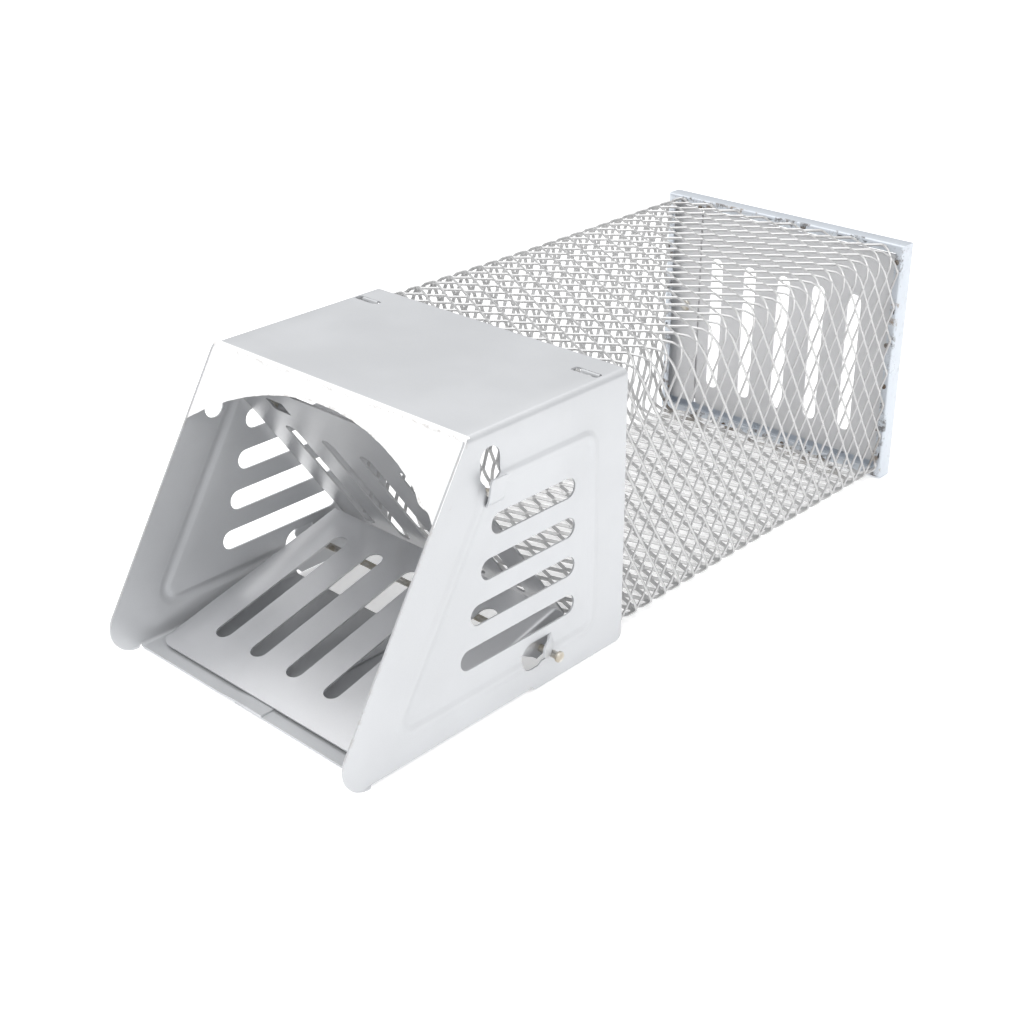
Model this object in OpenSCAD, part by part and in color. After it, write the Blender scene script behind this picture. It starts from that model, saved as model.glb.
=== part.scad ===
// Live catch trap: a folded sheet head with a see-saw treadle and a one-way gate,
// an expanded-metal cage and a framed end with a hinged door. Millimetres, +Z up.
// Origin: centre of the footprint on the ground. The mouth faces -Y.

/* [Overall] */
// Width over the two side plates
trap_w = 140; // [110:1:190]
// Height of the head
trap_h = 118; // [98:1:150]
// Length from the toe of the head to the back of the end frame
trap_len = 360; // [290:1:480]

/* [Head] */
// Length of the flat roof
roof_len = 86.5; // [72:0.5:110]
// How far the mouth slants forward from the roof to the ground
slant_run = 73; // [60:1:90]
// Thickness of the folded sheet
sheet_t = 0.8; // [0.6:0.1:1.2]
// Outer radius of the long folds
fold_r = 2.5; // [2:0.1:5]
// Radius of the rounded toe of each side plate
toe_r = 12; // [6:0.5:16]
// Bare length behind the floor flanges
floor_gap = 55; // [52:1:60]
// Overlap of the two floor flanges
lap_w = 16; // [8:1:24]
// Distance of the lap's edge from the centre line
lap_edge = 7.5; // [4:0.5:16]

/* [Side plate slots] */
// Number of slots in each side plate
side_slots = 4; // [3:1:4]
// Height of a side slot
side_slot_w = 8.6; // [6:0.1:10]
// Spacing of the side slots
side_slot_pitch = 16.7; // [14:0.1:18]
// Height of the lowest side slot's centre
side_slot_z = 30; // [28:0.5:34]
// Length of the lowest side slot
side_slot_len = 62.5; // [50:0.5:66]
// How much shorter each slot is than the one below it
side_slot_step = 5.7; // [0:0.1:8]
// Distance from the rear edge to the slots' rear ends
side_slot_back = 29.5; // [26:0.5:34]

/* [Bead] */
// Width of the embossed bead
bead_w = 5.5; // [4:0.1:7]
// How far the bead stands out of the plate
bead_h = 0.9; // [0.6:0.1:1.4]
// Distance from the bead to the slanted edge
bead_in = 20; // [17:0.5:24]
// Distance from the bead to the rear edge
bead_back = 19; // [15:0.5:21]
// Height of the bead's lower leg
bead_low = 14; // [12:0.5:16]
// Distance from the bead's upper leg to the roof
bead_top = 20; // [17:0.5:23]
// Corner radius of the bead
bead_r = 6; // [4:0.5:8]

/* [Lintel] */
// Drop of the lintel at the middle of the arch, down the slant
lintel_mid = 7.7; // [5:0.1:12]
// Drop of the lintel at the side plates, down the slant
lintel_end = 33; // [26:0.5:36]

/* [Treadle] */
// Diameter of the axle and rod wire
wire_d = 3; // [2.4:0.1:3.6]
// Height of the axle above the ground
axle_z = 13; // [12:0.5:15]
// Distance from the axle to the head's rear edge
axle_back = 43.3; // [41:0.1:46]
// Height of the plate's top above the axle, square to the plate
plate_lift = 11.9; // [11:0.1:13]
// Length of the plate behind the axle
plate_rear = 11.1; // [10:0.1:13]
// Length of the plate in front of the axle
plate_front = 87.4; // [74:0.1:92]
// Number of slots in the treadle
plate_slots = 5; // [3:1:5]
// Width of a treadle slot
plate_slot_w = 8; // [5:0.5:10]
// Spacing of the treadle slots
plate_slot_pitch = 22; // [18:0.5:24]
// Margin from the slots to the plate's rear edge
plate_slot_rear = 12.3; // [10:0.1:16]
// Margin from the slots to the plate's front edge
plate_slot_front = 14.7; // [12:0.1:20]

/* [Gate] */
// Height of the gate rod above the ground
rod_z = 94; // [88:0.5:95]
// Distance from the gate rod to the head's rear edge
rod_back = 76.5; // [74:0.5:78]
// Length of the gate below its rod
gate_len = 88; // [86:0.5:92]
// Length of the gate above its rod
gate_top = 19.5; // [9:0.5:19.5]
// Width of a gate slot
gate_slot_w = 7.5; // [5:0.5:9]
// Distance of the two hinge loops from the centre line
loop_x = 38; // [30:1:42]

/* [Cage] */
// Thickness of the expanded-metal wall
mesh_t = 1; // [0.8:0.1:1.4]
// Bend radius of the cage corners
mesh_r = 8; // [5:0.5:12]
// Length of cage tucked inside the head
mesh_tuck = 20; // [17:0.5:22]

/* [End frame and door] */
// Depth of the frame channels along the trap
frame_d = 9; // [8:0.5:12]
// Height of the channel flanges
frame_lip = 4; // [3.4:0.1:5]
// How far the frame stands inside the width of the head, each side
frame_inset = 1.8; // [1:0.1:2.5]
// Distance of the door's free edge from the centre line
door_edge = 48.4; // [40:0.2:52]
// Width of the slit between door and jamb
door_slit = 1.2; // [0.8:0.1:2]
// Number of door slots
door_slots = 5; // [3:1:5]
// Width of a door slot
door_slot_w = 7.3; // [5:0.1:9]
// Spacing of the door slots
door_slot_pitch = 20.3; // [17:0.1:21]
// Height of the door slots' lower ends
door_slot_z = 17.5; // [14:0.5:20]
// Diameter of the door's hinge pin
pin_d = 2.4; // [2:0.1:3]

/* [Clearances] */
// Gap between pieces that pass each other
gap = 0.35; // [0.3:0.05:0.5]
// Radial play of a wire in its hole
play = 0.05; // [0.02:0.01:0.1]

/* [Hidden] */
$fn = 48;

half_w = trap_w / 2;
in_w = half_w - sheet_t;
slant = atan2(trap_h, slant_run);
toe_in = toe_r / tan(slant / 2);
front_y = -trap_len / 2;
rear_y = trap_len / 2;
corner_y = front_y + toe_r - toe_in;
roof_y = corner_y + slant_run;
head_y = roof_y + roof_len;
toe_y = corner_y + toe_in;
flange_y = head_y - floor_gap;
cut = 5;
eps = 0.01;

// axle, rod and the angles that follow from them
wire_r = wire_d / 2;
bore_r = wire_r + play;
axle_y = head_y - axle_back;
rod_y = head_y - rod_back;
ear_r = norm([plate_rear, plate_lift]);
floor_top = 2 * sheet_t + gap;
under = plate_lift - sheet_t;
tilt = atan2(under, plate_front) + asin((axle_z - floor_top) / norm([plate_front, under]));
rod_dy = rod_y - axle_y;
rod_dz = rod_z - axle_z;
face_off = sheet_t + wire_r + play;
lean = atan2(rod_dz, rod_dy) - acos((ear_r + gap + face_off) / norm([rod_dy, rod_dz]));
plate_half = in_w - 4.2;
ear_w = 9;
ear_x = half_w - 9;
gate_half = in_w - 3.7;

// end frame and door
frame_w = half_w - frame_inset;
frame_in = frame_w - frame_lip;
mesh_half = frame_w - 1.4;
mesh_low = 1;
mesh_high = trap_h - 1;
panel_y = rear_y - 5;
pin_r = pin_d / 2;
pin_x = frame_in - 2.7;
knuckle_r = pin_r + play + 0.8;
pin_y = panel_y + sheet_t + knuckle_r;
door_top = trap_h - frame_lip - 2;
door_low = frame_lip + 2;
door_right = pin_x + 1;
slot_top = trap_h - 30;
slot_mid = (door_right - door_edge) / 2 - 5;
loop_low = trap_h * 0.237;
loop_high = trap_h * 0.703;
rivet_r = 1.5;
rivet_head = 1.2;
latch_t = 1;
latch_x = -(door_edge + door_slit + 8);
latch_z = trap_h / 2;
latch_y = panel_y + sheet_t + gap;

silver = [0.80, 0.81, 0.83];
zinc = [0.70, 0.74, 0.78];
wire_grey = [0.62, 0.62, 0.60];

// ---- helpers ----
// arc that rounds corner q between p and s
function arc_pts(p, q, s, r, n) =
    let (u = (p - q) / norm(p - q), v = (s - q) / norm(s - q),
         half = acos(max(-1, min(1, u * v))) / 2,
         d = r / tan(half),
         c = q + (u + v) / norm(u + v) * r / sin(half),
         a = q + u * d - c, b = q + v * d - c,
         a0 = atan2(a[1], a[0]), a1 = atan2(b[1], b[0]),
         da = a1 - a0 > 180 ? a1 - a0 - 360 : a1 - a0 < -180 ? a1 - a0 + 360 : a1 - a0)
    [for (i = [0:n]) c + r * [cos(a0 + da * i / n), sin(a0 + da * i / n)]];

function rounded(pts, radii, n = 6) =
    [for (i = [0:len(pts) - 1])
        each (radii[i] <= 0 ? [pts[i]]
              : arc_pts(pts[(i + len(pts) - 1) % len(pts)], pts[i],
                        pts[(i + 1) % len(pts)], radii[i], n))];

// slanted front line of the side plates at height z
function slant_y(z) = corner_y + z * slant_run / trap_h;

// extrude an XZ outline along Y
module along_y(y0, y1) {
    translate([0, y1, 0]) rotate([90, 0, 0]) linear_extrude(height = y1 - y0) children();
}

// extrude a YZ outline along X
module across_x(x0, x1) {
    translate([x0, 0, 0]) rotate([90, 0, 90]) linear_extrude(height = x1 - x0) children();
}

// upright or lying slot with round ends, from p to q
module slot2(p, q, w) {
    d = q - p;
    translate(p) circle(d = w);
    translate(q) circle(d = w);
    translate(p) rotate(atan2(d[1], d[0])) translate([0, -w / 2]) square([norm(d), w]);
}

module wire_x(x, y, z, r, x0) {
    translate([x0, y, z]) rotate([0, 90, 0]) cylinder(r = r, h = x - x0);
}

// ---- head ----
module side_outline() {
    polygon(rounded([[head_y, 0], [head_y, trap_h], [roof_y, trap_h], [corner_y, 0]],
                    [3, 0, 0, toe_r], 14));
}

module sleeve_outline(w, top, low, r, r_low) {
    polygon(rounded([[-w, low], [w, low], [w, top], [-w, top]], [r_low, r_low, r, r]));
}

module arch_sheet(y0, y1) {
    along_y(y0, y1) difference() {
        sleeve_outline(half_w, trap_h, 0, fold_r, 0);
        sleeve_outline(in_w, trap_h - sheet_t, -1, fold_r - sheet_t, 0);
    }
}

module ring_sheet(y0, y1) {
    along_y(y0, y1) difference() {
        sleeve_outline(half_w, trap_h, 0, fold_r, fold_r);
        sleeve_outline(in_w, trap_h - sheet_t, sheet_t, fold_r - sheet_t, fold_r - sheet_t);
    }
}

// closed trapezoid that follows the plate's edges, grown by d
module bead_line(d) {
    s = sin(slant);
    y_low = slant_y(bead_low - d) + (bead_in - d) / s;
    y_top = slant_y(trap_h - bead_top + d) + (bead_in - d) / s;
    y_back = head_y - bead_back + d;
    polygon(rounded([[y_back, bead_low - d], [y_back, trap_h - bead_top + d],
                     [y_top, trap_h - bead_top + d], [y_low, bead_low - d]],
                    [bead_r + d, bead_r + d, bead_r + d, bead_r + d], 5));
}

module bead_ring(w) {
    difference() {
        bead_line(w / 2);
        bead_line(-w / 2);
    }
}

module side_slots2() {
    for (i = [0:side_slots - 1]) {
        z = side_slot_z + i * side_slot_pitch;
        y1 = head_y - side_slot_back - side_slot_w / 2;
        y0 = head_y - side_slot_back - side_slot_len + i * side_slot_step + side_slot_w / 2;
        slot2([y0, z], [y1, z], side_slot_w);
    }
}

// keyhole of the gate rod: a round-topped window over a narrow seat
module rod_window2() {
    slot2([rod_y + 1.5, rod_z + 6], [rod_y + 1.5, rod_z + 12.5], 10);
    slot2([rod_y, rod_z], [rod_y, rod_z + 4], 2 * bore_r);
}

// window of the axle: a rounded opening that narrows to a seat at its rear end
module axle_window2() {
    slot2([axle_y - 10.5, axle_z + 3], [axle_y - 6, axle_z + 3], 12);
    slot2([axle_y - 6, axle_z + 5.7], [axle_y - 3, axle_z + 5.7], 6.4);
    slot2([axle_y, axle_z], [axle_y - 8, axle_z], 2 * bore_r);
}

// tongue that covers the rod's end: a short steep foot, then a leaning strap
module rod_tongue() {
    foot = -4.4;
    step = [2.6, -2.4];
    tip = [4.4, 7.2];
    half_tongue = 4;
    translate([half_w - sheet_t / 2, rod_y + 1.5, rod_z])
        along_y(-half_tongue, half_tongue)
        polygon([[0, foot], step, tip, [tip[0] + sheet_t, tip[1] - 0.15],
                 [step[0] + sheet_t - 0.05, step[1] - 0.45], [0, foot - 1.05]]);
}

// petal bent out over the axle's end, rooted at the rear of the window
module axle_tongue() {
    dip = 15;
    turn = 25;
    petal_w = 6;
    petal_len = 7;
    translate([half_w - sheet_t / 2, axle_y + 1.2, axle_z + 6])
        rotate([dip, 0, turn]) {
            translate([0, -petal_len, -petal_w / 2]) cube([sheet_t, petal_len, petal_w]);
            translate([0, -petal_len, 0]) rotate([0, 90, 0])
                cylinder(r = petal_w / 2, h = sheet_t);
        }
}

// ear lanced from the roof and pressed down into the cage, grown by d
module roof_ear(d) {
    translate([ear_x - ear_w / 2 - d, head_y - 11 - sheet_t - d, trap_h - 5])
        cube([ear_w + 2 * d, sheet_t + 2 * d, 5 - sheet_t / 2]);
}

module plate_cuts() {
    across_x(-half_w - cut, half_w + cut) {
        side_slots2();
        rod_window2();
        axle_window2();
    }
}

module head_shell() {
    color(silver) union() {
        difference() {
            union() {
                intersection() {
                    union() {
                        arch_sheet(front_y - 1, toe_y);
                        ring_sheet(toe_y, flange_y);
                        arch_sheet(flange_y, head_y);
                    }
                    across_x(-half_w - 1, half_w + 1) side_outline();
                }
                translate([lap_edge - lap_w, toe_y, sheet_t - eps])
                    cube([lap_w, flange_y - toe_y, sheet_t]);
                across_x(half_w - eps, half_w + bead_h) bead_ring(bead_w);
                across_x(-half_w - bead_h, -half_w + eps) bead_ring(bead_w);
            }
            across_x(in_w - 1, half_w - sheet_t * 0.4) bead_ring(bead_w - 2);
            across_x(-half_w + sheet_t * 0.4, -in_w + 1) bead_ring(bead_w - 2);
            plate_cuts();
            // extra round hole, left plate only
            translate([-half_w - cut, roof_y - 3.4, trap_h - 27])
                rotate([0, 90, 0]) cylinder(d = 9, h = 2 * cut);
            for (side = [-1, 1])
                translate([side * ear_x - ear_w / 2 - 1.5, head_y - 15, trap_h - 3])
                    cube([ear_w + 3, 4, 4]);
        }
        for (m = [0, 1]) mirror([m, 0, 0]) {
            rod_tongue();
            axle_tongue();
            roof_ear(0);
        }
    }
}

module entrance_lintel() {
    // arc through both ends and the middle of the arch
    rise = lintel_end - lintel_mid;
    arch_r = (half_w * half_w + rise * rise) / (2 * rise);
    color(silver)
        translate([0, roof_y, trap_h])
        rotate([slant, 0, 0])
        linear_extrude(height = sheet_t)
        difference() {
            translate([-half_w, -lintel_end]) square([trap_w, lintel_end]);
            translate([0, -lintel_mid - arch_r]) circle(r = arch_r, $fn = 120);
        }
}

// ---- treadle ----
module on_axle() {
    translate([0, axle_y, axle_z]) rotate([tilt, 0, 0]) children();
}

module treadle_ear() {
    polygon([[plate_rear, plate_lift], each [for (a = [44:-6:8]) ear_r * [cos(a), sin(a)]],
             [5, -2], [3.2, -3.4], [-3.2, -3.4], [-5, -1], [-plate_rear - 6, plate_lift - 2],
             [-plate_rear - 6, plate_lift]]);
}

module treadle() {
    len = plate_front + plate_rear;
    color(silver) on_axle() difference() {
        union() {
            translate([0, 0, plate_lift - sheet_t]) linear_extrude(height = sheet_t) difference() {
                polygon(rounded([[plate_half, plate_rear], [-plate_half, plate_rear],
                                 [-plate_half, -plate_front], [plate_half, -plate_front]],
                                [0, 0, 6.5, 6.5]));
                for (i = [0:plate_slots - 1]) {
                    x = (i - (plate_slots - 1) / 2) * plate_slot_pitch;
                    slot2([x, plate_rear - plate_slot_rear - plate_slot_w / 2],
                          [x, -plate_front + plate_slot_front + plate_slot_w / 2], plate_slot_w);
                }
            }
            across_x(plate_half - sheet_t, plate_half) treadle_ear();
            across_x(-plate_half, -plate_half + sheet_t) treadle_ear();
        }
        wire_x(half_w, 0, 0, bore_r, -half_w);
    }
}

module treadle_axle() {
    color(wire_grey) {
        wire_x(half_w + 4, axle_y, axle_z, wire_r, -half_w - 4);
        for (side = [-1, 1])
            translate([side * (half_w + 4.6), axle_y, axle_z]) rotate([0, 90, 0])
                cylinder(r = wire_r + 0.8, h = 1.8, center = true);
    }
}

// ---- gate ----
module on_rod() {
    translate([0, rod_y, rod_z]) rotate([90 + lean, 0, 0]) children();
}

// outline of the gate: y runs up the sheet from the rod
module gate_outline() {
    slot_low = -gate_len + 10;
    slot_high = -13.5;
    difference() {
        polygon(rounded([[gate_half, gate_top], [-gate_half, gate_top],
                         [-gate_half, -gate_len], [gate_half, -gate_len]], [3, 3, 3, 3]));
        for (i = [0:plate_slots - 1]) {
            x = (i - (plate_slots - 1) / 2) * plate_slot_pitch;
            slot2([x, slot_low], [x, slot_high], gate_slot_w);
        }
        for (side = [-1, 1])
            translate([side * loop_x - 5, 2.6]) square([10, 7]);
    }
}

module gate() {
    color(silver) on_rod() union() {
        translate([0, 0, bore_r]) linear_extrude(height = sheet_t) gate_outline();
        for (side = [-1, 1]) translate([side * loop_x, 0, 0])
            rotate([0, 90, 0]) difference() {
                cylinder(r = bore_r + sheet_t, h = 10, center = true);
                cylinder(r = bore_r, h = 12, center = true);
            }
    }
}

module gate_rod() {
    color(wire_grey) wire_x(half_w + 1.6, rod_y, rod_z, wire_r, -half_w - 1.6);
}

// ---- cage ----
module cage_tube() {
    along_y(head_y - mesh_tuck, rear_y - frame_d) difference() {
        sleeve_outline(mesh_half, mesh_high, mesh_low, mesh_r, mesh_r);
        sleeve_outline(mesh_half - mesh_t, mesh_high - mesh_t, mesh_low + mesh_t,
                       mesh_r - mesh_t, mesh_r - mesh_t);
    }
}

module cage_part(x0, x1, z0, z1) {
    color(zinc) intersection() {
        cage_tube();
        translate([x0, front_y, z0]) cube([x1 - x0, trap_len, z1 - z0]);
    }
}

module cage_top() {
    difference() {
        cage_part(-half_w, half_w, mesh_high - mesh_r, trap_h);
        for (m = [0, 1]) mirror([m, 0, 0]) roof_ear(gap);
    }
}

module cage_bottom() {
    cage_part(-half_w, half_w, 0, mesh_low + mesh_r);
}

module cage_left() {
    cage_part(-half_w, 0, mesh_low + mesh_r, mesh_high - mesh_r);
}

module cage_right() {
    cage_part(0, half_w, mesh_low + mesh_r, mesh_high - mesh_r);
}

// ---- end frame ----
// channel laid along X at the origin, mitred at both ends, lips towards +Z
module channel(length) {
    difference() {
        translate([-length / 2, -frame_d, 0]) cube([length, frame_d, frame_lip]);
        translate([-length / 2 - 1, -frame_d + sheet_t, sheet_t])
            cube([length + 2, frame_d - 2 * sheet_t, frame_lip]);
        for (m = [0, 1]) mirror([m, 0, 0])
            translate([length / 2, -frame_d - 1, 0]) rotate([0, -45, 0])
                cube([frame_lip * 2, frame_d + 2, frame_lip * 2]);
    }
}

module frame_bottom() {
    color(zinc) translate([0, rear_y, 0]) channel(2 * frame_w);
}

module frame_top() {
    color(zinc) translate([0, rear_y, trap_h]) mirror([0, 0, 1]) channel(2 * frame_w);
}

module frame_left() {
    color(zinc) translate([-frame_w, rear_y, trap_h / 2]) rotate([0, 90, 0]) channel(trap_h);
}

module frame_right() {
    color(zinc) mirror([1, 0, 0])
        translate([-frame_w, rear_y, trap_h / 2]) rotate([0, 90, 0]) channel(trap_h);
}

// ---- end door ----
module door_jamb() {
    jamb_out = frame_w - sheet_t;
    color(silver) along_y(panel_y, panel_y + sheet_t) difference() {
        translate([-jamb_out, door_low])
            square([jamb_out - door_edge - door_slit, door_top - door_low]);
        translate([latch_x, latch_z]) circle(r = rivet_r);
    }
}

module end_door() {
    color(silver) along_y(panel_y, panel_y + sheet_t) difference() {
        translate([-door_edge, door_low]) square([door_edge + door_right, door_top - door_low]);
        for (i = [0:door_slots - 1]) {
            x = slot_mid + (i - (door_slots - 1) / 2) * door_slot_pitch;
            slot2([x, door_slot_z + door_slot_w / 2], [x, slot_top - door_slot_w / 2], door_slot_w);
        }
    }
}

module door_knuckles() {
    color(wire_grey) for (z = [loop_low, loop_high])
        translate([pin_x, pin_y, z]) difference() {
            union() {
                cylinder(r = knuckle_r, h = 8, center = true);
                translate([-9, panel_y + sheet_t - pin_y, -4]) cube([9, sheet_t, 8]);
            }
            cylinder(r = pin_r + play, h = 10, center = true);
        }
}

module door_hinge_pin() {
    color(wire_grey) translate([pin_x, pin_y, loop_low - 9])
        cylinder(r = pin_r, h = loop_high - loop_low + 18);
}

// lugs end in an eye that stays inside the door's sweep about the pin
module hinge_lugs() {
    eye_r = knuckle_r - gap;
    lug_w = frame_w - sheet_t - pin_x;
    color(zinc) for (z = [loop_low - 7, loop_high + 5])
        translate([pin_x, pin_y, z]) linear_extrude(height = 2) difference() {
            union() {
                circle(r = eye_r);
                translate([0, -eye_r]) square([lug_w, eye_r + rear_y - sheet_t - pin_y]);
            }
            circle(r = pin_r);
        }
}

// button drawn upright, clear of the door
module latch_button() {
    color(zinc) along_y(latch_y, latch_y + latch_t) translate([latch_x, latch_z]) difference() {
        slot2([0, -4], [0, 13], 8);
        circle(r = rivet_r + play);
    }
}

module latch_rivet() {
    color(wire_grey) translate([latch_x, 0, latch_z]) rotate([-90, 0, 0]) {
        translate([0, 0, panel_y - rivet_head]) cylinder(r = 2 * rivet_r, h = rivet_head);
        translate([0, 0, panel_y - eps])
            cylinder(r = rivet_r, h = latch_y + latch_t + gap + 2 * eps - panel_y);
        translate([0, 0, latch_y + latch_t + gap]) cylinder(r = 2 * rivet_r, h = rivet_head);
    }
}

head_shell();
entrance_lintel();
treadle();
treadle_axle();
gate();
gate_rod();
cage_top();
cage_left();
cage_right();
cage_bottom();
frame_top();
frame_bottom();
frame_left();
frame_right();
door_jamb();
end_door();
door_knuckles();
door_hinge_pin();
hinge_lugs();
latch_button();
latch_rivet();
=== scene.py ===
# %% [markdown]
# # Live catch trap
# A folded sheet head with a see-saw treadle and a one-way gate, an expanded-metal cage and a
# framed end with a release door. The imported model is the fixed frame: every piece made here sits
# where that model says and rides on one of its bodies.

# %% Load the frame
import math
import bpy
import numpy as np
from mathutils import Matrix, Vector
from mathutils.geometry import delaunay_2d_cdt


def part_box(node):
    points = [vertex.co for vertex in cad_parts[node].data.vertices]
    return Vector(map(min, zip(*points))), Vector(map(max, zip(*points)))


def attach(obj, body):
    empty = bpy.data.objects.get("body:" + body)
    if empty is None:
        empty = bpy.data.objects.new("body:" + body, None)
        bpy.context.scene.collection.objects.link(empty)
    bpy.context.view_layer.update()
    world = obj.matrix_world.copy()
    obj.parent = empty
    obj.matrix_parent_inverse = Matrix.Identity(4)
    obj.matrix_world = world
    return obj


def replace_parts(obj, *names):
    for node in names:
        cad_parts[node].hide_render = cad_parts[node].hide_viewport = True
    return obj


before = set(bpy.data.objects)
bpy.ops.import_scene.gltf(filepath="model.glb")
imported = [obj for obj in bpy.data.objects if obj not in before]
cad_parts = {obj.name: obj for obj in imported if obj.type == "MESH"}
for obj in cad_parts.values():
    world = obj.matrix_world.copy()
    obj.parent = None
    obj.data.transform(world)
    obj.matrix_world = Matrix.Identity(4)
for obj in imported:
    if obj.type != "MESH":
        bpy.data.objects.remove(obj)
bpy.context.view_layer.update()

# %% [markdown]
# ## Sizes
# All shapes are worked out in millimetres and turned to metres when a mesh is made. Places come
# from the boxes of the fixed nodes, so a piece can't drift from the part that it stands for.

# %% Sizes and places
MM = 0.001


def span(node):
    low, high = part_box(node)
    return np.array(low) / MM, np.array(high) / MM


def middle(node):
    low, high = span(node)
    return (low + high) / 2


SHEET = 0.8
HALF_W, HEIGHT, FOLD = 70.0, 118.0, 2.5
ROOF_LEN, FLOOR_GAP = 86.5, 55.0
WIRE_R, SEAT_R = 1.5, 1.55
HEAD_BACK = span("head_shell")[1][1]
ROOF_FRONT = HEAD_BACK - ROOF_LEN
SLANT_RUN, TOE_R = 73.0, 12.0
CORNER = ROOF_FRONT - SLANT_RUN
SLANT = math.atan2(HEIGHT, SLANT_RUN)
TOE = CORNER + TOE_R / math.tan(SLANT / 2)
FLANGE_END = HEAD_BACK - FLOOR_GAP
AXLE, ROD, PIN = middle("treadle_axle"), middle("gate_rod"), middle("door_hinge_pin")
REAR = span("frame_top")[1][1]
print("head back", round(HEAD_BACK, 2), "axle", AXLE.round(2), "rod", ROD.round(2), "rear", round(REAR, 2))

# %% [markdown]
# ## Finishes
# Shader maths reads like arithmetic here: a small class wraps a socket, so `1 - mask` adds a Math
# node. Any other node comes from one call that takes its type, its settings and its inputs.

# %% Shader helper
class Wire:
    def __init__(self, tree, socket):
        self.tree, self.socket = tree, socket

    def maths(self, operation, a, b=None, clamp=False):
        values = {0: a} if b is None else {0: a, 1: b}
        return add_node(self.tree, "ShaderNodeMath", dict(operation=operation, use_clamp=clamp), values)

    def __add__(self, other): return self.maths("ADD", self, other)
    def __radd__(self, other): return self.maths("ADD", other, self)
    def __sub__(self, other): return self.maths("SUBTRACT", self, other)
    def __rsub__(self, other): return self.maths("SUBTRACT", other, self)
    def __mul__(self, other): return self.maths("MULTIPLY", self, other)
    def __rmul__(self, other): return self.maths("MULTIPLY", other, self)
    def __truediv__(self, other): return self.maths("DIVIDE", self, other)
    def __abs__(self): return self.maths("ABSOLUTE", self)
    def least(self, other): return self.maths("MINIMUM", self, other)
    def most(self, other): return self.maths("MAXIMUM", self, other)
    def clamp(self): return self.maths("ADD", self, 0.0, clamp=True)


def add_node(tree, kind, settings=None, values=None, out=0):
    node = tree.nodes.new(kind)
    for name, value in (settings or {}).items():
        setattr(node, name, value)
    for key, value in (values or {}).items():
        if isinstance(value, Wire):
            tree.links.new(value.socket, node.inputs[key])
        else:
            node.inputs[key].default_value = value
    return Wire(tree, node.outputs[out])


# %% [markdown]
# A few recipes come back in every finish: cloudy noise, a soft threshold that turns noise into a
# mask, and a mix of two colours. They could be repeated in each material, but as functions each
# finish below stays short enough to read. Position comes from Object coordinates, in metres, so a
# pattern keeps its real size and stays on its piece when the piece moves.

# %% Shader building blocks
def noise(tree, where, scale, detail=3.0, rough=0.5):
    return add_node(tree, "ShaderNodeTexNoise", {}, {"Vector": where, "Scale": scale, "Detail": detail,
                                                     "Roughness": rough})


def fade(tree, value, low, high):
    return add_node(tree, "ShaderNodeMapRange", dict(clamp=True, interpolation_type="SMOOTHSTEP"),
                    {"Value": value, "From Min": low, "From Max": high})


def blend_colour(tree, mask, a, b):
    node = tree.nodes.new("ShaderNodeMix")
    node.data_type = "RGBA"
    for index, value in ((0, mask), (6, a), (7, b)):
        if isinstance(value, Wire):
            tree.links.new(value.socket, node.inputs[index])
        else:
            node.inputs[index].default_value = (*value, 1) if index else value
    return Wire(tree, node.outputs[2])


def new_finish(name, **constants):
    material = bpy.data.materials.new(name)
    material.use_nodes = True
    tree = material.node_tree
    surface = tree.nodes["Principled BSDF"]
    for key, value in constants.items():
        surface.inputs[key.replace("_", " ")].default_value = value
    place = add_node(tree, "ShaderNodeTexCoord", out=3)
    axes = [add_node(tree, "ShaderNodeSeparateXYZ", {}, {"Vector": place}, out=i) for i in range(3)]
    return material, tree, surface, place, axes


def feed(tree, surface, name, wire):
    tree.links.new(wire.socket, surface.inputs[name])


def bump(tree, surface, height, distance, strength=1.0):
    wire = add_node(tree, "ShaderNodeBump", {}, {"Height": height, "Distance": distance,
                                                 "Strength": strength})
    feed(tree, surface, "Normal", wire)


# %% [markdown]
# ### Silver sheet
# The head, treadle, gate and door are steel sheet under a thin silver coat: fine metal grain,
# a faint cloudiness, and bare scuffs where the sheet was folded and sheared. The scuffs gather in
# a band that follows an edge. A painted mask could place them, but the finish takes a function that
# measures the distance to the edge instead, so it needs no image and works at any scale.

# %% Silver sheet finish
def silver_sheet(name, tone, metal=0.55, rough=0.42, edge=None, scuff=0.5):
    material, tree, surface, place, (x, y, z) = new_finish(name, Specular_IOR_Level=0.45)
    cloud = noise(tree, place, 22.0, 4.0)
    grain = noise(tree, place, 2600.0, 2.0, 0.6)
    drawn = add_node(tree, "ShaderNodeMapping", {}, {"Vector": place, "Scale": (30.0, 900.0, 30.0)})
    streak = noise(tree, drawn, 1.0, 3.0)
    dark = tuple(c * 0.93 for c in tone)
    colour = blend_colour(tree, fade(tree, cloud, 0.35, 0.7), dark, tone)
    colour = blend_colour(tree, fade(tree, grain, 0.2, 0.8) * 0.22, colour,
                          tuple(min(1, c * 1.12) for c in tone))
    nicks = fade(tree, noise(tree, place, 420.0, 5.0, 0.7), 0.66, 0.74)
    marks = nicks * fade(tree, noise(tree, place, 60.0), 0.5, 0.7) * 0.35
    if edge is not None:
        near = 1.0 - fade(tree, edge(tree, x, y, z), 0.0001, 0.0013)
        ragged = fade(tree, noise(tree, place, 420.0, 5.0, 0.75), 0.44, 0.64)
        marks = marks.most(near * ragged * scuff)
    colour = blend_colour(tree, marks, colour, (0.40, 0.37, 0.34))
    feed(tree, surface, "Base Color", colour)
    feed(tree, surface, "Roughness", (rough + (cloud - 0.5) * 0.12 + (streak - 0.5) * 0.06
                                      + marks * 0.2).clamp())
    feed(tree, surface, "Metallic", metal - marks * 0.3)
    bump(tree, surface, grain * 0.35 + noise(tree, place, 340.0, 2.0) * 0.5 - marks * 1.4, 0.00006, 0.5)
    return material


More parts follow.
